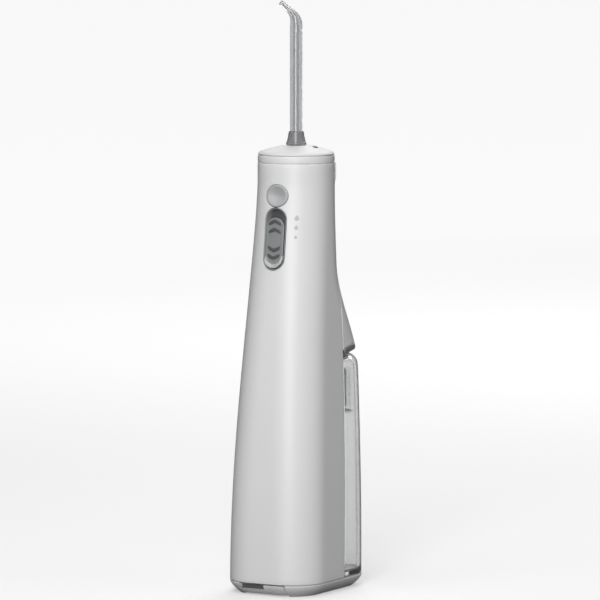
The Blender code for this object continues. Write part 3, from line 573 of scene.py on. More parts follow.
def resample(path, count):
    """Points evenly spaced along an open path."""
    lengths = [0.0]
    for a, b in zip(path, path[1:]):
        lengths.append(lengths[-1] + math.hypot(b[0] - a[0], b[1] - a[1]))
    result = []
    j = 0
    for i in range(count):
        target = lengths[-1] * i / (count - 1)
        while j < len(lengths) - 2 and lengths[j + 1] < target:
            j += 1
        span = lengths[j + 1] - lengths[j]
        t = (target - lengths[j]) / span if span > 0.0 else 0.0
        a, b = path[j], path[j + 1]
        result.append((a[0] + (b[0] - a[0]) * t, a[1] + (b[1] - a[1]) * t))
    return result


def end_round(outer, inner, split, edge, sign, steps=3):
    """Two small fillets that close a wall's end."""
    across = 1.0 if inner[0] > outer[0] else -1.0
    points = []
    for k in range(1, steps + 1):
        angle = 0.5 * math.pi * k / steps
        points.append((outer[0] + across * edge * (1.0 - math.cos(angle)),
                       split - sign * edge * (1.0 - math.sin(angle))))
    for k in range(steps, 0, -1):
        angle = 0.5 * math.pi * k / steps
        points.append((inner[0] - across * edge * (1.0 - math.cos(angle)),
                       split - sign * edge * (1.0 - math.sin(angle))))
    return points


def shell_section(z, inset, wall, edge, split, front, count=110):
    """Closed loop of a shell's cut at height z, with rounded ends at the split line."""
    sign = 1.0 if front else -1.0
    limit = split - sign * edge
    outer = resample(clip_outline(outline(z, inset), limit, front), count)
    inner = resample(clip_outline(outline(z, inset + wall), limit, front), count)
    loop = list(outer)
    loop += end_round(outer[-1], inner[-1], split, edge, sign)
    loop += list(reversed(inner))
    loop += list(reversed(end_round(outer[0], inner[0], split, edge, sign)))
    return loop


def rim(edge, steps):
    """(distance from the end, erosion) pairs of a rounded rim, from its end inwards."""
    angles = [0.5 * math.pi * k / steps for k in range(steps)]
    return [(edge * (1.0 - math.cos(angle)), edge * (1.0 - math.sin(angle))) for angle in angles]


def height_stack(bottom, top, edge, count, steps=3):
    """(height, erosion) pairs that round a shell's rims."""
    stack = [(bottom + away, erosion) for away, erosion in rim(edge, steps)]
    for i in range(count + 1):
        stack.append((bottom + edge + (top - bottom - 2.0 * edge) * i / count, 0.0))
    return stack + [(top - away, erosion) for away, erosion in reversed(rim(edge, steps))]


def front_point(x, v, n, z0):
    """Point n outside the front face, x across and v up the slope from height z0."""
    def face(px, pz):
        width = half_width(pz)
        reach = front_reach(pz)
        radius = min(NECK_RADIUS, width - MIN_FLAT)
        over = max(0.0, abs(px) - (width - radius))
        return -(reach - radius) - math.sqrt(max(radius * radius - over * over, 0.0))
    slope = (face(0.0, z0 + 5.0) - face(0.0, z0 - 5.0)) / 10.0
    z = z0 + v / math.hypot(1.0, slope)
    step = 0.2
    dx = Vector((2.0 * step, face(x + step, z) - face(x - step, z), 0.0))
    dz = Vector((0.0, face(x, z + step) - face(x, z - step), 2.0 * step))
    normal = dx.cross(dz).normalized()
    return Vector((x, face(x, z), z)) + normal * n


def straight_point(x, v, n, z0):
    """Like front_point, but n is measured along the face's normal at its middle."""
    outward = front_point(0.0, 0.0, 1.0, z0) - front_point(0.0, 0.0, 0.0, z0)
    return front_point(x, v, 0.0, z0) + outward * n


def dense(points, step):
    """Closed outline with its long sides divided."""
    result = []
    for a, b in zip(points, points[1:] + points[:1]):
        pieces = max(1, int(math.hypot(b[0] - a[0], b[1] - a[1]) / step))
        for k in range(pieces):
            result.append((a[0] + (b[0] - a[0]) * k / pieces, a[1] + (b[1] - a[1]) * k / pieces))
    return result


def capsule(width, length, steps=20):
    """Upright slot outline with round ends."""
    radius = 0.5 * width
    points = []
    for sign, start in ((1.0, 0.0), (-1.0, 180.0)):
        for i in range(steps + 1):
            angle = math.radians(start + 180.0 * i / steps)
            centre = sign * 0.5 * (length - width)
            points.append((radius * math.cos(angle), centre + radius * math.sin(angle)))
    return dense(points, 0.6)


def ellipse(width, height, steps=96):
    return [(0.5 * width * math.cos(math.tau * i / steps), 0.5 * height * math.sin(math.tau * i / steps))
            for i in range(steps)]


# ---- shells

def build_front_housing():
    rings = []
    for z, erosion in height_stack(HOUSING_LOW, HOUSING_TOP, SHELL_EDGE, 100):
        loop = shell_section(z, erosion, WALL - 2.0 * erosion, SHELL_EDGE, split_y(z), True)
        rings.append([Vector((x, y, z)) for x, y in loop])
    shell = make_piece("front_shell", loft(rings), WHITE, "housing", ("front_housing",), 50.0)
    for z0, points in ((SWITCH_Z, capsule(SWITCH_WIDTH + 0.3, SWITCH_LENGTH + 0.3)),
                       (EJECT_Z, ellipse(EJECT_WIDTH + 0.5, EJECT_HEIGHT + 0.5, 72))):
        data = loft([[straight_point(x, v, n, z0) for x, v in points] for n in (-5.0, 3.0)])
        apply_cut(shell, cutter("hole_tool", data))
    shell.data.set_sharp_from_angle(angle=math.radians(50.0))


def rear_lip(z):
    """The rear cover stands slightly proud at the top of the neck."""
    t = min(1.0, max(0.0, (z - 204.5) / 4.0))
    return -0.6 * t * t * (3.0 - 2.0 * t)


def build_rear_cover():
    rings = []
    for z, erosion in height_stack(SHOULDER_FLOOR, HOUSING_TOP, SHELL_EDGE, 60):
        loop = shell_section(z, rear_lip(z) + erosion, WALL - rear_lip(z) - 2.0 * erosion, SHELL_EDGE,
                             split_y(z) + GAP, False)
        rings.append([Vector((x, y, z)) for x, y in loop])
    data = loft(rings)
    cover = make_piece("rear_shell", data, WHITE, "housing", ("rear_cover",), 50.0)
    floor_rings = []
    for z in (SHOULDER_FLOOR + 0.4, SHOULDER_FLOOR + WALL):
        path = resample(clip_outline(outline(z, 1.0), split_y(z) + 0.7, False), 90)
        floor_rings.append([Vector((x, y, z)) for x, y in path])
    apply_cut(cover, cutter("floor_tool", loft(floor_rings)), "UNION")
    for side in (-1.0, 1.0):
        apply_cut(cover, latch_shape("latch_pocket", side, 0.25, 4.0, 6.0, None, None))
    apply_cut(cover, bar_cutter("sink_tool", 1, (0.0, COVER_SCREW_Z), 2.7, (18.2, 24.0), 48))
    cover.data.set_sharp_from_angle(angle=math.radians(45.0))


def latch_groove(x, inset):
    """Depth of the finger grooves along the latch."""
    if inset < 0.4:
        return 0.0
    return 0.22 * max(0.0, math.cos(math.tau * x / LATCH_GROOVE_PITCH)) ** 2


def latch_shape(name, side, grow, depth, proud, material, body):
    """Slanted side latch with grip grooves, or, without a material, the cutter for its pocket."""
    outer = half_width(LATCH_Z) + proud
    inner = half_width(LATCH_Z) - depth
    place = (Matrix.Translation(Vector((0.0, LATCH_Y, LATCH_Z)))
             @ Matrix.Rotation(math.radians(LATCH_TILT), 4, "X")
             @ Matrix(((0, 0, side, 0), (1, 0, 0, 0), (0, 1, 0, 0), (0, 0, 0, 1))))
    a, b = LATCH_HALF_LENGTH + grow, LATCH_HALF_HEIGHT + grow
    points = dense([(p.x, p.y) for p in rectangle(a, -b, b, 1.5, 6)], 0.25)
    rings = [[place @ Vector((x, y, level)) for x, y in points] for level in (inner, outer - 0.4)]
    if material is not None:
        for inset, drop in ((0.15, 0.12), (0.45, 0.0), (0.9, 0.0), (1.3, 0.0)):
            rings.append([place @ Vector((x * (1.0 - inset / a), y * (1.0 - inset / b),
                                          outer - drop - latch_groove(x * (1.0 - inset / a), inset)))
                          for x, y in points])
    else:
        rings.append([place @ Vector((x, y, outer)) for x, y in points])
    data = loft(rings)
    if material is None:
        return cutter(name, data)
    return make_piece(name, data, material, body,
                      ("reservoir_latch_left" if side < 0.0 else "reservoir_latch_right",))


def plinth_ring(share, inset=0.0):
    """The plinth's outline at a share of its height."""
    taper = PLINTH_TAPER * (1.0 - share) ** 1.6
    return [Vector((x, y, PLINTH_TOP * share)) for x, y in outline(PLINTH_OUTLINE_Z, taper + inset)]


def build_plinth():
    shares = [0.0, 0.03, 0.08, 0.16, 0.26, 0.38, 0.5, 0.62, 0.74, 0.84, 0.92, 0.96]
    rings = [plinth_ring(share) for share in shares]
    rings.append([Vector((p.x, p.y, PLINTH_TOP - 0.08)) for p in plinth_ring(1.0, 0.08)])
    rings.append([Vector((p.x, p.y, PLINTH_TOP)) for p in plinth_ring(1.0, 0.3)])
    plinth = make_piece("plinth", loft(rings), WHITE, "housing", ("base_plinth",), 45.0)
    for tool in door_cutters():
        apply_cut(plinth, tool)
    for side in (-1.0, 1.0):
        apply_cut(plinth, bar_cutter("screw_sink_tool", 2, (side * BASE_SCREW_X, BASE_SCREW_Y), 2.4,
                                     (-1.0, 2.6), 40))
    soften(plinth, 0.2, 2, 40.0)


def door_cutters():
    """The battery door's opening, its front notch and its knuckle notch."""
    corners = rectangle(OPENING_HALF_WIDTH, OPENING_FRONT, OPENING_BACK, 3.0, 8)
    opening = loft([[Vector((p.x, p.y, z)) for p in corners] for z in (-1.0, 8.0)])
    notch = box_mesh((-NOTCH_HALF_WIDTH, -40.0, -1.0), (NOTCH_HALF_WIDTH, -20.0, 8.0))
    knuckle = box_mesh((-8.3, -4.0, -1.0), (8.3, 3.7, 8.0))
    return [cutter("opening_tool", opening), cutter("notch_tool", notch), cutter("knuckle_tool", knuckle)]


def build_battery_door():
    """Panel, front tab, web and knuckle in one piece, with a recess, grip grooves and the pin's bore."""
    corners = rectangle(PANEL_HALF_WIDTH, PANEL_FRONT, PANEL_BACK, 2.8, 8)
    data = loft([[Vector((p.x, p.y, z)) for p in corners] for z in (PANEL_LOW, PANEL_TOP)])
    door = make_piece("battery_hatch_panel", data, WHITE, "battery_hatch", ("battery_door",))
    shares = [0.0, 0.08, 0.16, 0.26, 0.38, 0.5, 0.62, 0.74, 0.84, 0.92, 1.0]
    tab = cutter("tab_tool", loft([plinth_ring(share, 0.02) for share in shares]))
    cut_box(tab, (-TAB_HALF_WIDTH, -40.0, PANEL_LOW), (TAB_HALF_WIDTH, -26.0, TAB_TOP), "INTERSECT")
    apply_cut(door, tab, "UNION")
    cut_box(door, (-KNUCKLE_HALF_WIDTH, -4.0, 0.9), (KNUCKLE_HALF_WIDTH, DOOR_PIN_Y, 3.1), "UNION")
    pin = (DOOR_PIN_Y, DOOR_PIN_Z)
    knuckle_ends = (-KNUCKLE_HALF_WIDTH, KNUCKLE_HALF_WIDTH)
    apply_cut(door, bar_cutter("knuckle_tool", 0, pin, 1.45, knuckle_ends, 32), "UNION")
    cut_box(door, (RECESS_LEFT, -40.0, RECESS_LOW), (RECESS_RIGHT, RECESS_BACK, 6.5))
    # Painted shade: a dark grey pad set into the tab's recess stands in for the shadow there.
    make_piece("tab_recess_shade_pad", box_mesh((-11.4, -34.2, 3.55), (1.4, -33.38, 5.6)), DARK_GREY_AND_PAINTED_SHADE, "battery_hatch")
    for i in range(GRIP_GROOVES):
        apply_cut(door, bar_cutter("grip_tool", 0, (GRIP_FRONT + GRIP_PITCH * i, 0.7), 0.45, (-6.0, 6.0), 12))
    apply_cut(door, bar_cutter("bore_tool", 0, pin, 0.95, (-9.0, 9.0), 32))
    soften(door, 0.18, 2, 40.0)


# ---- reservoir

def tank_section(z, inset, corner, split):
    """Closed outline of the reservoir at height z with rounded front corners."""
    limit = split + corner
    outer = resample(clip_outline(outline(z, inset), limit, False), 150)
    loop = list(outer)
    steps = 6
    left, right = outer[-1], outer[0]
    for k in range(1, steps + 1):
        angle = 0.5 * math.pi * k / steps
        loop.append((left[0] + corner * (1.0 - math.cos(angle)), limit - corner * math.sin(angle)))
    flat = resample([(left[0] + corner, split), (right[0] - corner, split)], 30)
    loop += flat[1:-1]
    for k in range(steps, 0, -1):
        angle = 0.5 * math.pi * k / steps
        loop.append((right[0] - corner * (1.0 - math.cos(angle)), limit - corner * math.sin(angle)))
    return loop


def tank_rings(inset, bottom, top, bottom_radius, top_radius, corner, front_gap):
    """Rings of the reservoir, or of its hollow, with rounded bottom and top edges."""
    steps = 8
    body_count = 60
    levels = [(bottom + away, erosion) for away, erosion in rim(bottom_radius, steps)]
    for i in range(body_count + 1):
        z = bottom + bottom_radius + (top - bottom - bottom_radius - top_radius) * i / body_count
        levels.append((z, 0.0))
    levels += [(top - away, erosion * 0.9) for away, erosion in reversed(rim(top_radius, steps))]
    rings = []
    for z, extra in levels:
        loop = tank_section(z, inset + extra, corner, split_y(z) + front_gap + min(extra, 1.2))
        rings.append([Vector((x, y, z)) for x, y in loop])
    return rings


def build_reservoir():
    data = loft(tank_rings(GAP, TANK_LOW, TANK_TOP, 0.8, 5.0, 1.2, GAP))
    tank = make_piece("reservoir_shell", data, TANK_CLEAR, "tank", ("reservoir",), 40.0)
    hollow = loft(tank_rings(GAP + WALL, TANK_LOW + WALL, TANK_TOP - WALL, 1.5, 4.0, 1.0, GAP + WALL))
    apply_cut(tank, cutter("hollow_tool", hollow))
    corners = rectangle(MOUTH_HALF_WIDTH, MOUTH_LOW, MOUTH_TOP, 1.6, 6)
    mouth = loft([[Vector((p.x, y, p.y)) for p in corners] for y in (24.0, 45.0)])
    apply_cut(tank, cutter("mouth_tool", mouth))
    apply_cut(tank, bar_cutter("port_tool", 1, (0.0, PORT_Z), 3.3, (0.0, 12.0), 40))
    tank.data.set_sharp_from_angle(angle=math.radians(40.0))


def build_fill_door():
    """Door that continues the reservoir's back, with a shallow groove round its face."""
    def skin(x, z, inset):
        width = half_width(z) - inset
        back = back_reach(z) - inset
        radius = min(back_corner(z) - inset, width - MIN_FLAT)
        over = max(0.0, abs(x) - (width - radius))
        return back - radius + math.sqrt(radius * radius - over * over)

    corners = rectangle(LID_HALF_WIDTH, LID_LOW, LID_TOP, 1.4, 6)
    edge = dense([(p.x, p.y) for p in corners], 0.6)
    middle = 0.5 * (LID_LOW + LID_TOP)
    rings = []
    for scale, inset in ((0.0, 2.3), (0.5, 2.3), (0.97, 2.3), (1.0, 2.1), (1.0, 0.6), (0.985, 0.36),
                         (0.96, 0.3), (0.86, 0.3), (0.85, 0.55), (0.70, 0.55), (0.69, 0.3), (0.5, 0.3),
                         (0.25, 0.3), (0.0, 0.3)):
        s = max(scale, 0.002)
        ring = []
        for x, z in edge:
            height = middle + (z - middle) * s
            ring.append(Vector((x * s, skin(x * s, height, inset), height)))
        rings.append(ring)
    data = loft(rings)
    door = make_piece("fill_door_panel", data, TANK_CLEAR, "tank_lid", ("fill_door",), 35.0)
    pin = (LID_PIN_Y, LID_PIN_Z)
    knuckle_ends = (-LID_HALF_WIDTH, LID_HALF_WIDTH)
    apply_cut(door, bar_cutter("knuckle_tool", 0, pin, 1.1, knuckle_ends, 32), "UNION")
    apply_cut(door, bar_cutter("bore_tool", 0, pin, 0.6, (-14.0, 14.0), 24))
    door.data.set_sharp_from_angle(angle=math.radians(35.0))


# ---- top

def build_neck():
    """Band below the dome; a set-back step below it and another above it read as thin seams."""
    spigot = NECK_RADIUS - 0.40
    low_end = HOUSING_TOP + 0.02
    top_end = RING_TOP + 0.3
    turned(((12.1, RING_LOW, 0.2), (17.4, RING_LOW, 0.1), (17.4, low_end, 0.05), (spigot, low_end, 0.05),
            (spigot, RING_LOW, 0.05), (NECK_RADIUS, RING_LOW, 0.2), (NECK_RADIUS, RING_TOP, 0.2),
            (spigot - 0.1, RING_TOP, 0.05), (spigot - 0.1, top_end, 0.05), (17.0, top_end, 0.05),
            (17.0, RING_TOP, 0.05), (12.1, RING_TOP, 0.2)),
           WHITE, "housing", "neck_band", ("neck_ring",), steps=144)


def build_knob():
    base = RING_TOP + 0.4
    turned(((3.6, 216.3, 0.2), (11.7, 216.3, 0.2), (11.7, base, 0.2), (NECK_RADIUS - 0.3, base, 0.25),
            (NECK_RADIUS - 0.1, base + 0.6, 0.3), (NECK_RADIUS - 1.0, base + 1.4, 1.0),
            (17.0, base + 1.95, 4.0), (12.5, base + 3.2, 8.0), (7.4, KNOB_TOP - 0.05, 2.5),
            (6.2, KNOB_TOP, 0.6), (3.6, KNOB_TOP, 0.25)),
           KNOB_WHITE, "knob", "knob_dome", ("nozzle_knob",), steps=144, steps_round=6)


def build_tip():
    """Bored tube with a bent, tapered nose, and the smoky collar round its foot."""
    bend_angle = math.radians(TIP_BEND_DEGREES)
    heading = Vector((-math.cos(CAMERA_AZIMUTH), -math.sin(CAMERA_AZIMUTH), 0.0))
    heights = (206.4, 207.0, 215.0, 223.0, 231.0, 240.0, 250.0, 260.0, 270.0, 278.0, 283.0)
    path = [Vector((0.0, 0.0, z)) for z in heights]
    bend_steps = 16
    for i in range(bend_steps + 1):
        angle = bend_angle * i / bend_steps
        path.append(Vector((0.0, 0.0, TIP_BEND_START))
                    + heading * TIP_BEND_RADIUS * (1.0 - math.cos(angle))
                    + Vector((0.0, 0.0, TIP_BEND_RADIUS * math.sin(angle))))
    direction = heading * math.sin(bend_angle) + Vector((0.0, 0.0, math.cos(bend_angle)))
    nose_start = path[-1]
    path += [nose_start + direction * length for length in NOSE_LENGTHS]
    tapered = len(path) - len(heights)
    outer = [TIP_RADIUS] * len(heights)
    bore = [TIP_BORE] * len(heights)
    for i in range(tapered):
        share = min(1.0, (i + 1) / (tapered - 2))
        outer.append(TIP_RADIUS + (NOSE_RADIUS - TIP_RADIUS) * share ** 1.15)
        bore.append(TIP_BORE + (NOSE_BORE - TIP_BORE) * share)
    outer[-1] -= 0.2
    rings = sweep_rings(path, outer, 48)
    inner = sweep_rings(path, bore, 48)
    data = loft(rings + list(reversed(inner)), closed=True)
    make_piece("tip_tube", data, TIP_CLEAR, "tip", ("jet_tip",), 40.0)
    turned(((3.4, COLLAR_LOW, 0.1), (5.1, COLLAR_LOW, 0.25), (5.1, COLLAR_LOW + 1.0, 0.3),
            (4.75, COLLAR_LOW + 1.3, 0.2), (4.1, COLLAR_LOW + 4.2, 1.0), (3.75, COLLAR_TOP, 0.25),
            (3.4, COLLAR_TOP, 0.1)), COLLAR_SMOKE, "tip", "collar_ring", ("tip_collar",))


# ---- controls

def ring_stack(shape, stack, z0, shift, relief=None):
    """Rings that follow the front face; stack holds (inset, height) pairs."""
    rings = []
    for inset, height in stack:
        ring = []
        for x, v in shape(inset):
            extra = relief(x, v) if relief is not None and height > -0.6 else 0.0
            ring.append(front_point(x, v + shift, height + extra, z0))
        rings.append(ring)
    return rings


def scaled_capsule(width, length):
    """A capsule's outline as a function of the inset from its edge."""
    base = capsule(width, length)

    def shape(inset):
        half = 0.5 * (length - width)
        points = []
        for x, v in base:
            core = max(-half, min(half, v))
            factor = 1.0 - inset / (0.5 * width)
            points.append((x * factor, core + (v - core) * factor))
        return points
    return shape


def build_bezel():
    shape = scaled_capsule(SWITCH_WIDTH, SWITCH_LENGTH)
    stack = [(6.1, -4.2), (3.0, -4.2), (0.0, -4.2), (0.0, -0.25), (-0.02, -0.05), (0.10, 0.10), (0.28, 0.12),
             (0.48, 0.0), (0.6, -0.25), (0.6, -3.0), (0.8, -3.2), (3.0, -3.2), (6.1, -3.2)]
    data = loft(ring_stack(shape, stack, SWITCH_Z, 0.0))
    bezel = make_piece("switch_surround", data, MID_GREY, "housing", ("switch_bezel",), 35.0)
    # Painted shade: the pocket's deepest faces get the dark grey to stand in for the shadow inside the switch
    # pocket.
    bezel.data.materials.append(DARK_GREY_AND_PAINTED_SHADE)
    sides = len(shape(0.0))
    for face in bezel.data.polygons:
        if face.index >= POCKET_SHADE_RING * sides:
            face.material_index = 1


def build_chevrons(shift):
    """Raised ribs coloured dark grey as painted shade, standing in for the dark chevron grooves: two point up
    near the slider's top, two point down near its bottom.
    """
    for i, (apex, up) in enumerate(CHEVRONS):
        upper, lower = [], []
        steps = 16
        for k in range(steps + 1):
            x = CHEVRON_REACH * (2.0 * k / steps - 1.0)
            round_off = math.sqrt(max(0.0, 1.0 - (x / CHEVRON_REACH) ** 8))
            line = apex - up * CHEVRON_LEAN * (math.sqrt(x * x + 0.3) - 0.55)
            half = CHEVRON_HALF_THICKNESS * (0.35 + 0.65 * round_off)
            upper.append((x, line + half))
            lower.append((x, line - half))
        edge = dense(lower + list(reversed(upper)), 0.5)
        rings = []
        for shrink, height in ((0.0, -0.6), (0.0, 0.10), (0.10, 0.24), (0.30, 0.32)):
            ring = []
            for x, v in edge:
                line = apex - up * CHEVRON_LEAN * (math.sqrt(x * x + 0.3) - 0.55)
                ring.append(front_point(x * (1.0 - 0.5 * shrink / CHEVRON_REACH),
                                        shift + line + (v - line) * (1.0 - shrink / CHEVRON_HALF_THICKNESS),
                                        height, SWITCH_Z))
            rings.append(ring)
        make_piece("slider_rib_%d" % (i + 1), loft(rings), DARK_GREY_AND_PAINTED_SHADE, "switch")


def build_slider():
    shape = scaled_capsule(SLIDER_WIDTH, SLIDER_LENGTH)
    stack = [(5.15, -2.6), (2.5, -2.6), (0.15, -2.6), (0.0, -2.4), (0.0, -0.35), (0.08, -0.1), (0.25, 0.06),
             (0.5, 0.14)]
    rows = 34
    for i in range(1, rows + 1):
        inset = 0.5 + (5.15 - 0.5) * i / rows
        dish = 0.35 * min(1.0, (inset - 0.5) / 1.4)
        stack.append((inset, 0.14 - dish))
    low_end = -0.5 * (SWITCH_LENGTH - 1.2) + GAP
    shift = low_end + 0.5 * SLIDER_LENGTH

    def relief(x, v):
        """The lower end sweeps up into a thumb lip."""
        depth = math.hypot(x, min(0.0, v + 0.5 * (SLIDER_LENGTH - SLIDER_WIDTH)))
        if v > -0.5 * (SLIDER_LENGTH - SLIDER_WIDTH):
            return 0.0
        share = min(1.0, max(0.0, (depth - 2.2) / 2.2))
        return 0.9 * share * share * (3.0 - 2.0 * share) * min(1.0, -(v + 7.5) / 2.0)

    data = loft(ring_stack(shape, stack, SWITCH_Z, shift, relief))
    slider = make_piece("slider_cap", data, MID_GREY, "switch", ("switch_slider",), 40.0)
    # Painted highlight: the crescent of faces round the lower end's lip gets a lighter grey standing in for
    # the light the lip catches.
    slider.data.materials.append(SLIDER_LIP_PAINTED_HIGHLIGHT)
    arc_centre = SWITCH_Z + shift - 0.5 * (SLIDER_LENGTH - SLIDER_WIDTH)
    for face in slider.data.polygons:
        centre = face.center / MM
        drop = centre.z - arc_centre
        if drop < 1.0 and math.hypot(centre.x, drop - 1.3) > 4.3:
            face.material_index = 1
    build_chevrons(shift)


def build_eject_button():
    base = ellipse(EJECT_WIDTH, EJECT_HEIGHT)

    def shape(inset):
        factor = 1.0 - inset / (0.5 * EJECT_HEIGHT)
        return [(x * factor, v * factor) for x, v in base]

    stack = [(5.55, -2.6), (2.5, -2.6), (0.1, -2.6), (0.0, -2.4), (0.0, -0.2), (0.08, 0.12), (0.3, 0.3),
             (0.6, 0.34)]
    rows = 24
    for i in range(1, rows + 1):
        inset = 0.6 + (5.55 - 0.6) * i / rows
        share = (inset - 0.6) / 4.95
        stack.append((inset, 0.34 - 1.9 * math.sin(0.5 * math.pi * share) ** 1.3))
    data = loft([[straight_point(x, v, height, EJECT_Z) for x, v in shape(inset)]
                 for inset, height in stack])
    make_piece("eject_cap", data, LIGHT_GREY, "eject_push", ("eject_button",), 40.0)


def build_screws():
    """Pan-head screws: one through the rear cover and two up through the base."""
    rear = turned(((0.0, 9.0, 0.0), (1.1, 9.0, 0.3), (1.1, 18.5, 0.05), (2.3, 18.5, 0.1), (2.3, 18.95, 0.3),
                   (1.5, 19.3, 0.6), (0.0, 19.3, 0.0)), STEEL, "housing", "rear_screw",
                  ("cover_screw",), (0.0, 0.0, COVER_SCREW_Z), (0, 1, 0), steps=48)
    for across, along in ((1.35, 0.3), (0.3, 1.35)):
        cut_box(rear, (-across, 18.75, COVER_SCREW_Z - along), (across, 20.0, COVER_SCREW_Z + along))
    for side, label in ((-1.0, "left"), (1.0, "right")):
        x, y = side * BASE_SCREW_X, BASE_SCREW_Y
        base = turned(((0.0, 0.8, 0.0), (1.5, 0.8, 0.5), (2.1, 1.1, 0.3), (2.1, 2.3, 0.1), (1.1, 2.3, 0.05),
                       (1.1, 12.0, 0.3), (0.0, 12.0, 0.0)), STEEL, "housing", label + "_base_screw",
                      ("base_screw_" + label,), (x, y, 0.0), steps=48)
        for across, along in ((1.25, 0.3), (0.3, 1.25)):
            cut_box(base, (x - across, y - along, -1.0), (x + across, y + along, 1.4))


def build_valve_springs():
    """Coil springs between the valve discs and their cover."""
    steps = 20
    for label in ("inlet", "outlet"):
        node = label + "_spring"
        bottom, top = low(node), high(node)
        middle = 0.5 * (bottom + top)
        radius = 0.5 * (top.x - bottom.x) - SPRING_WIRE
        count = int(SPRING_TURNS * steps)
        path = []
        for i in range(count + 1):
            angle = math.tau * i / steps
            height = bottom.z + SPRING_WIRE + (top.z - bottom.z - 2.0 * SPRING_WIRE) * i / count
            path.append(Vector((middle.x + radius * math.cos(angle), middle.y + radius * math.sin(angle),
                                height)))
        data = loft(sweep_rings(path, [SPRING_WIRE] * len(path), 10))
        spring = make_piece(label + "_valve_spring", data, STEEL, None, (node,))
        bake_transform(spring)


# ---- printed marks

def flat_mark(name, points, z0):
    """Thin printed patch that follows the front face."""
    data = loft([[front_point(x, v, n, z0) for x, v in points] for n in (-0.04, 0.03)])
    make_piece(name, data, PRINT_GREY, "housing")


def drop_outline(size):
    """Water-drop outline of the given height."""
    points = []
    count = 28
    for i in range(count):
        angle = math.tau * i / count
        pinch = max(0.0, math.sin(angle)) ** 3
        points.append((0.36 * size * math.cos(angle) * (1.0 - 0.55 * pinch),
                       0.36 * size * math.sin(angle) + 0.28 * size * pinch))
    return points


def build_marks():
    for i, (v, size) in enumerate(((10.3, 2.9), (5.6, 2.4), (0.9, 1.9))):
        flat_mark("level_mark_%d" % (i + 1), [(10.6 + x, v + y) for x, y in drop_outline(size)], SWITCH_Z)


def dome_height(radius):
    """Height of the knob's upper surface at a radius."""
    profile = ((3.6, KNOB_TOP), (6.2, KNOB_TOP), (7.4, KNOB_TOP - 0.05), (12.5, RING_TOP + 3.6),
               (17.0, RING_TOP + 2.35), (18.3, RING_TOP + 1.8))
    for (r0, z0), (r1, z1) in zip(profile, profile[1:]):
        if radius <= r1:
            return z0 + (z1 - z0) * (radius - r0) / (r1 - r0)
    return profile[-1][1]


def build_knob_mark():
    """Small dark oval let into the dome beside the tip."""
    rings = []
    for grow, lift in ((0.3, -0.8), (1.0, -0.3), (1.0, 0.10), (0.92, 0.38), (0.7, 0.58), (0.35, 0.66)):
        ring = []
        for i in range(40):
            angle = math.tau * i / 40
            x = 10.3 + 1.25 * grow * math.cos(angle)
            y = 1.3 + 1.65 * grow * math.sin(angle)
            ring.append(Vector((x, y, dome_height(math.hypot(x, y)) + lift)))
        rings.append(ring)
    make_piece("knob_mark", loft(rings), DIMPLE_GREY, "knob")


# ---- stage, in metres

FLOOR_SEEN = 0.55
FLOOR_LIGHT = 0.20
FLOOR_GLOW_SEEN = 0.41
FLOOR_RADIUS = 40.0
GLOW_START = 0.45
GLOW_END = 2.4
WORLD_SEEN = 0.93
WORLD_LIGHT = 0.02
FRONT_POWER = 12.2
TOP_POWER = 5.0
BACK_POWER = 15.0
FILL_POWER = 2.2


def seen_value(nodes, links, seen, light, socket):
    """One value for what is seen, directly or through clear plastic, and another for the light it sheds."""
    path = nodes.new("ShaderNodeLightPath")
    either = nodes.new("ShaderNodeMath")
    either.operation = "MAXIMUM"
    spread = nodes.new("ShaderNodeMapRange")
    put(spread, "To Min", light)
    put(spread, "To Max", seen)
    links.new(path.outputs["Is Camera Ray"], either.inputs[0])
    links.new(path.outputs["Is Transmission Ray"], either.inputs[1])
    links.new(either.outputs["Value"], spread.inputs["Value"])
    links.new(spread.outputs["Result"], socket)


def build_stage():
    """Round pale floor that glows more with distance, so that it meets the backdrop evenly."""
    data = bmesh.new()
    bmesh.ops.create_circle(data, cap_ends=True, segments=96, radius=FLOOR_RADIUS)
    mesh = bpy.data.meshes.new("floor")
    data.to_mesh(mesh)
    data.free()
    floor = bpy.data.objects.new("floor", mesh)
    bpy.context.scene.collection.objects.link(floor)
    material, nodes, links, shader = new_material("pale_floor")
    seen_value(nodes, links, FLOOR_SEEN, FLOOR_LIGHT, shader.inputs["Base Color"])
    put(shader, "Roughness", 0.9)
    put(shader, "Specular IOR Level", 0.1)
    put(shader, "Emission Color", (1.0, 1.0, 1.0, 1.0))
    coordinates = nodes.new("ShaderNodeTexCoord")
    length = nodes.new("ShaderNodeVectorMath")
    length.operation = "LENGTH"
    ramp = nodes.new("ShaderNodeMapRange")
    ramp.interpolation_type = "SMOOTHSTEP"
    put(ramp, "From Min", GLOW_START)
    put(ramp, "From Max", GLOW_END)
    put(ramp, "To Min", FLOOR_GLOW_SEEN)
    put(ramp, "To Max", WORLD_SEEN)
    glow = nodes.new("ShaderNodeMath")
    glow.operation = "MULTIPLY"
    seen_value(nodes, links, 1.0, 0.0, glow.inputs[0])
    links.new(coordinates.outputs["Object"], length.inputs[0])
    links.new(length.outputs["Value"], ramp.inputs["Value"])
    links.new(ramp.outputs["Result"], glow.inputs[1])
    links.new(glow.outputs["Value"], shader.inputs["Emission Strength"])
    mesh.materials.append(material)


def area_light(name, place, target, size, energy, size_y=None):
    """Rectangular light at a place, turned towards its target."""
    light = bpy.data.lights.new(name, "AREA")
    light.shape = "RECTANGLE"
    light.size = size
    light.size_y = size_y or size
    light.energy = energy
    item = bpy.data.objects.new(name, light)
    item.location = place
    item.rotation_euler = (Vector(target) - Vector(place)).to_track_quat("-Z", "Y").to_euler()
    bpy.context.scene.collection.objects.link(item)


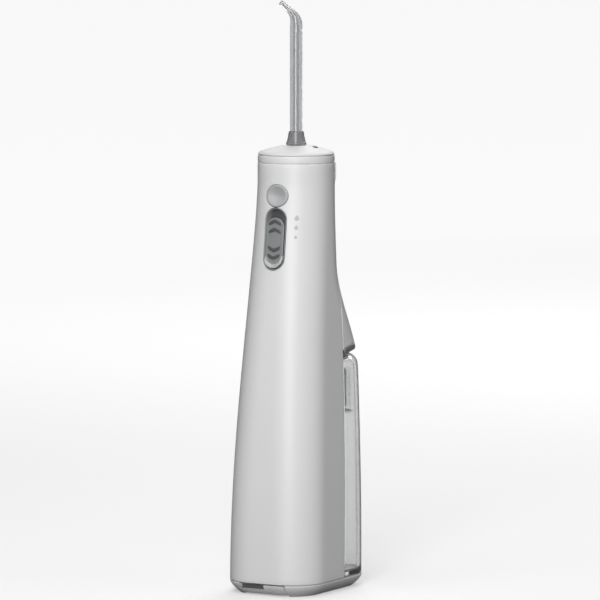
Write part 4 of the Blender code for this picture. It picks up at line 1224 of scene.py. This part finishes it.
def camera_frame():
    """Level directions towards the camera and to the picture's right."""
    back = Vector((math.sin(CAMERA_AZIMUTH), -math.cos(CAMERA_AZIMUTH), 0.0))
    right = Vector((math.cos(CAMERA_AZIMUTH), math.sin(CAMERA_AZIMUTH), 0.0))
    return back, right


def build_lights():
    back, right = camera_frame()
    centre = Vector((0.0, 0.0, 0.15))

    def spot(side, away, up):
        return tuple(right * side + back * away + Vector((0.0, 0.0, up)))

    area_light("front_soft", spot(-0.18, 1.18, 0.55), centre, 0.5, FRONT_POWER, 1.0)
    area_light("top_soft", spot(-0.25, 0.35, 1.25), (0.0, 0.0, 0.1), 0.7, TOP_POWER)
    area_light("back_soft", spot(0.30, -1.10, 1.15), centre, 1.1, BACK_POWER, 0.9)
    area_light("side_fill", spot(1.15, 0.45, 0.50), centre, 0.8, FILL_POWER, 1.0)
    world = bpy.data.worlds.new("studio")
    world.use_nodes = True
    background = world.node_tree.nodes["Background"]
    put(background, "Color", (1.0, 1.0, 1.0, 1.0))
    seen_value(world.node_tree.nodes, world.node_tree.links, WORLD_SEEN, WORLD_LIGHT,
               background.inputs["Strength"])
    bpy.context.scene.world = world


def build_camera():
    back, right = camera_frame()
    aim = right * AIM_SIDE + Vector((0.0, 0.0, AIM_HEIGHT))
    place = right * AIM_SIDE + back * CAMERA_DISTANCE + Vector((0.0, 0.0, CAMERA_HEIGHT))
    data = bpy.data.cameras.new("camera")
    data.sensor_width = 36.0
    data.lens = data.sensor_width * (place - aim).length / VIEW_WIDTH
    item = bpy.data.objects.new("camera", data)
    item.location = place
    item.rotation_euler = (aim - place).to_track_quat("-Z", "Y").to_euler()
    bpy.context.scene.collection.objects.link(item)
    bpy.context.scene.camera = item
    bpy.context.scene.view_settings.view_transform = "Standard"


dress_frame()
build_front_housing()
build_rear_cover()
build_plinth()
build_battery_door()
build_reservoir()
build_fill_door()
latch_shape("latch_cap_left", -1.0, 0.0, 1.8, 0.35, LATCH_GREY, "latch_left")
latch_shape("latch_cap_right", 1.0, 0.0, 1.8, 0.35, LATCH_GREY, "latch_right")
build_neck()
build_knob()
build_tip()
build_bezel()
build_slider()
build_eject_button()
build_screws()
build_valve_springs()
build_marks()
build_knob_mark()
build_stage()
build_lights()
build_camera()
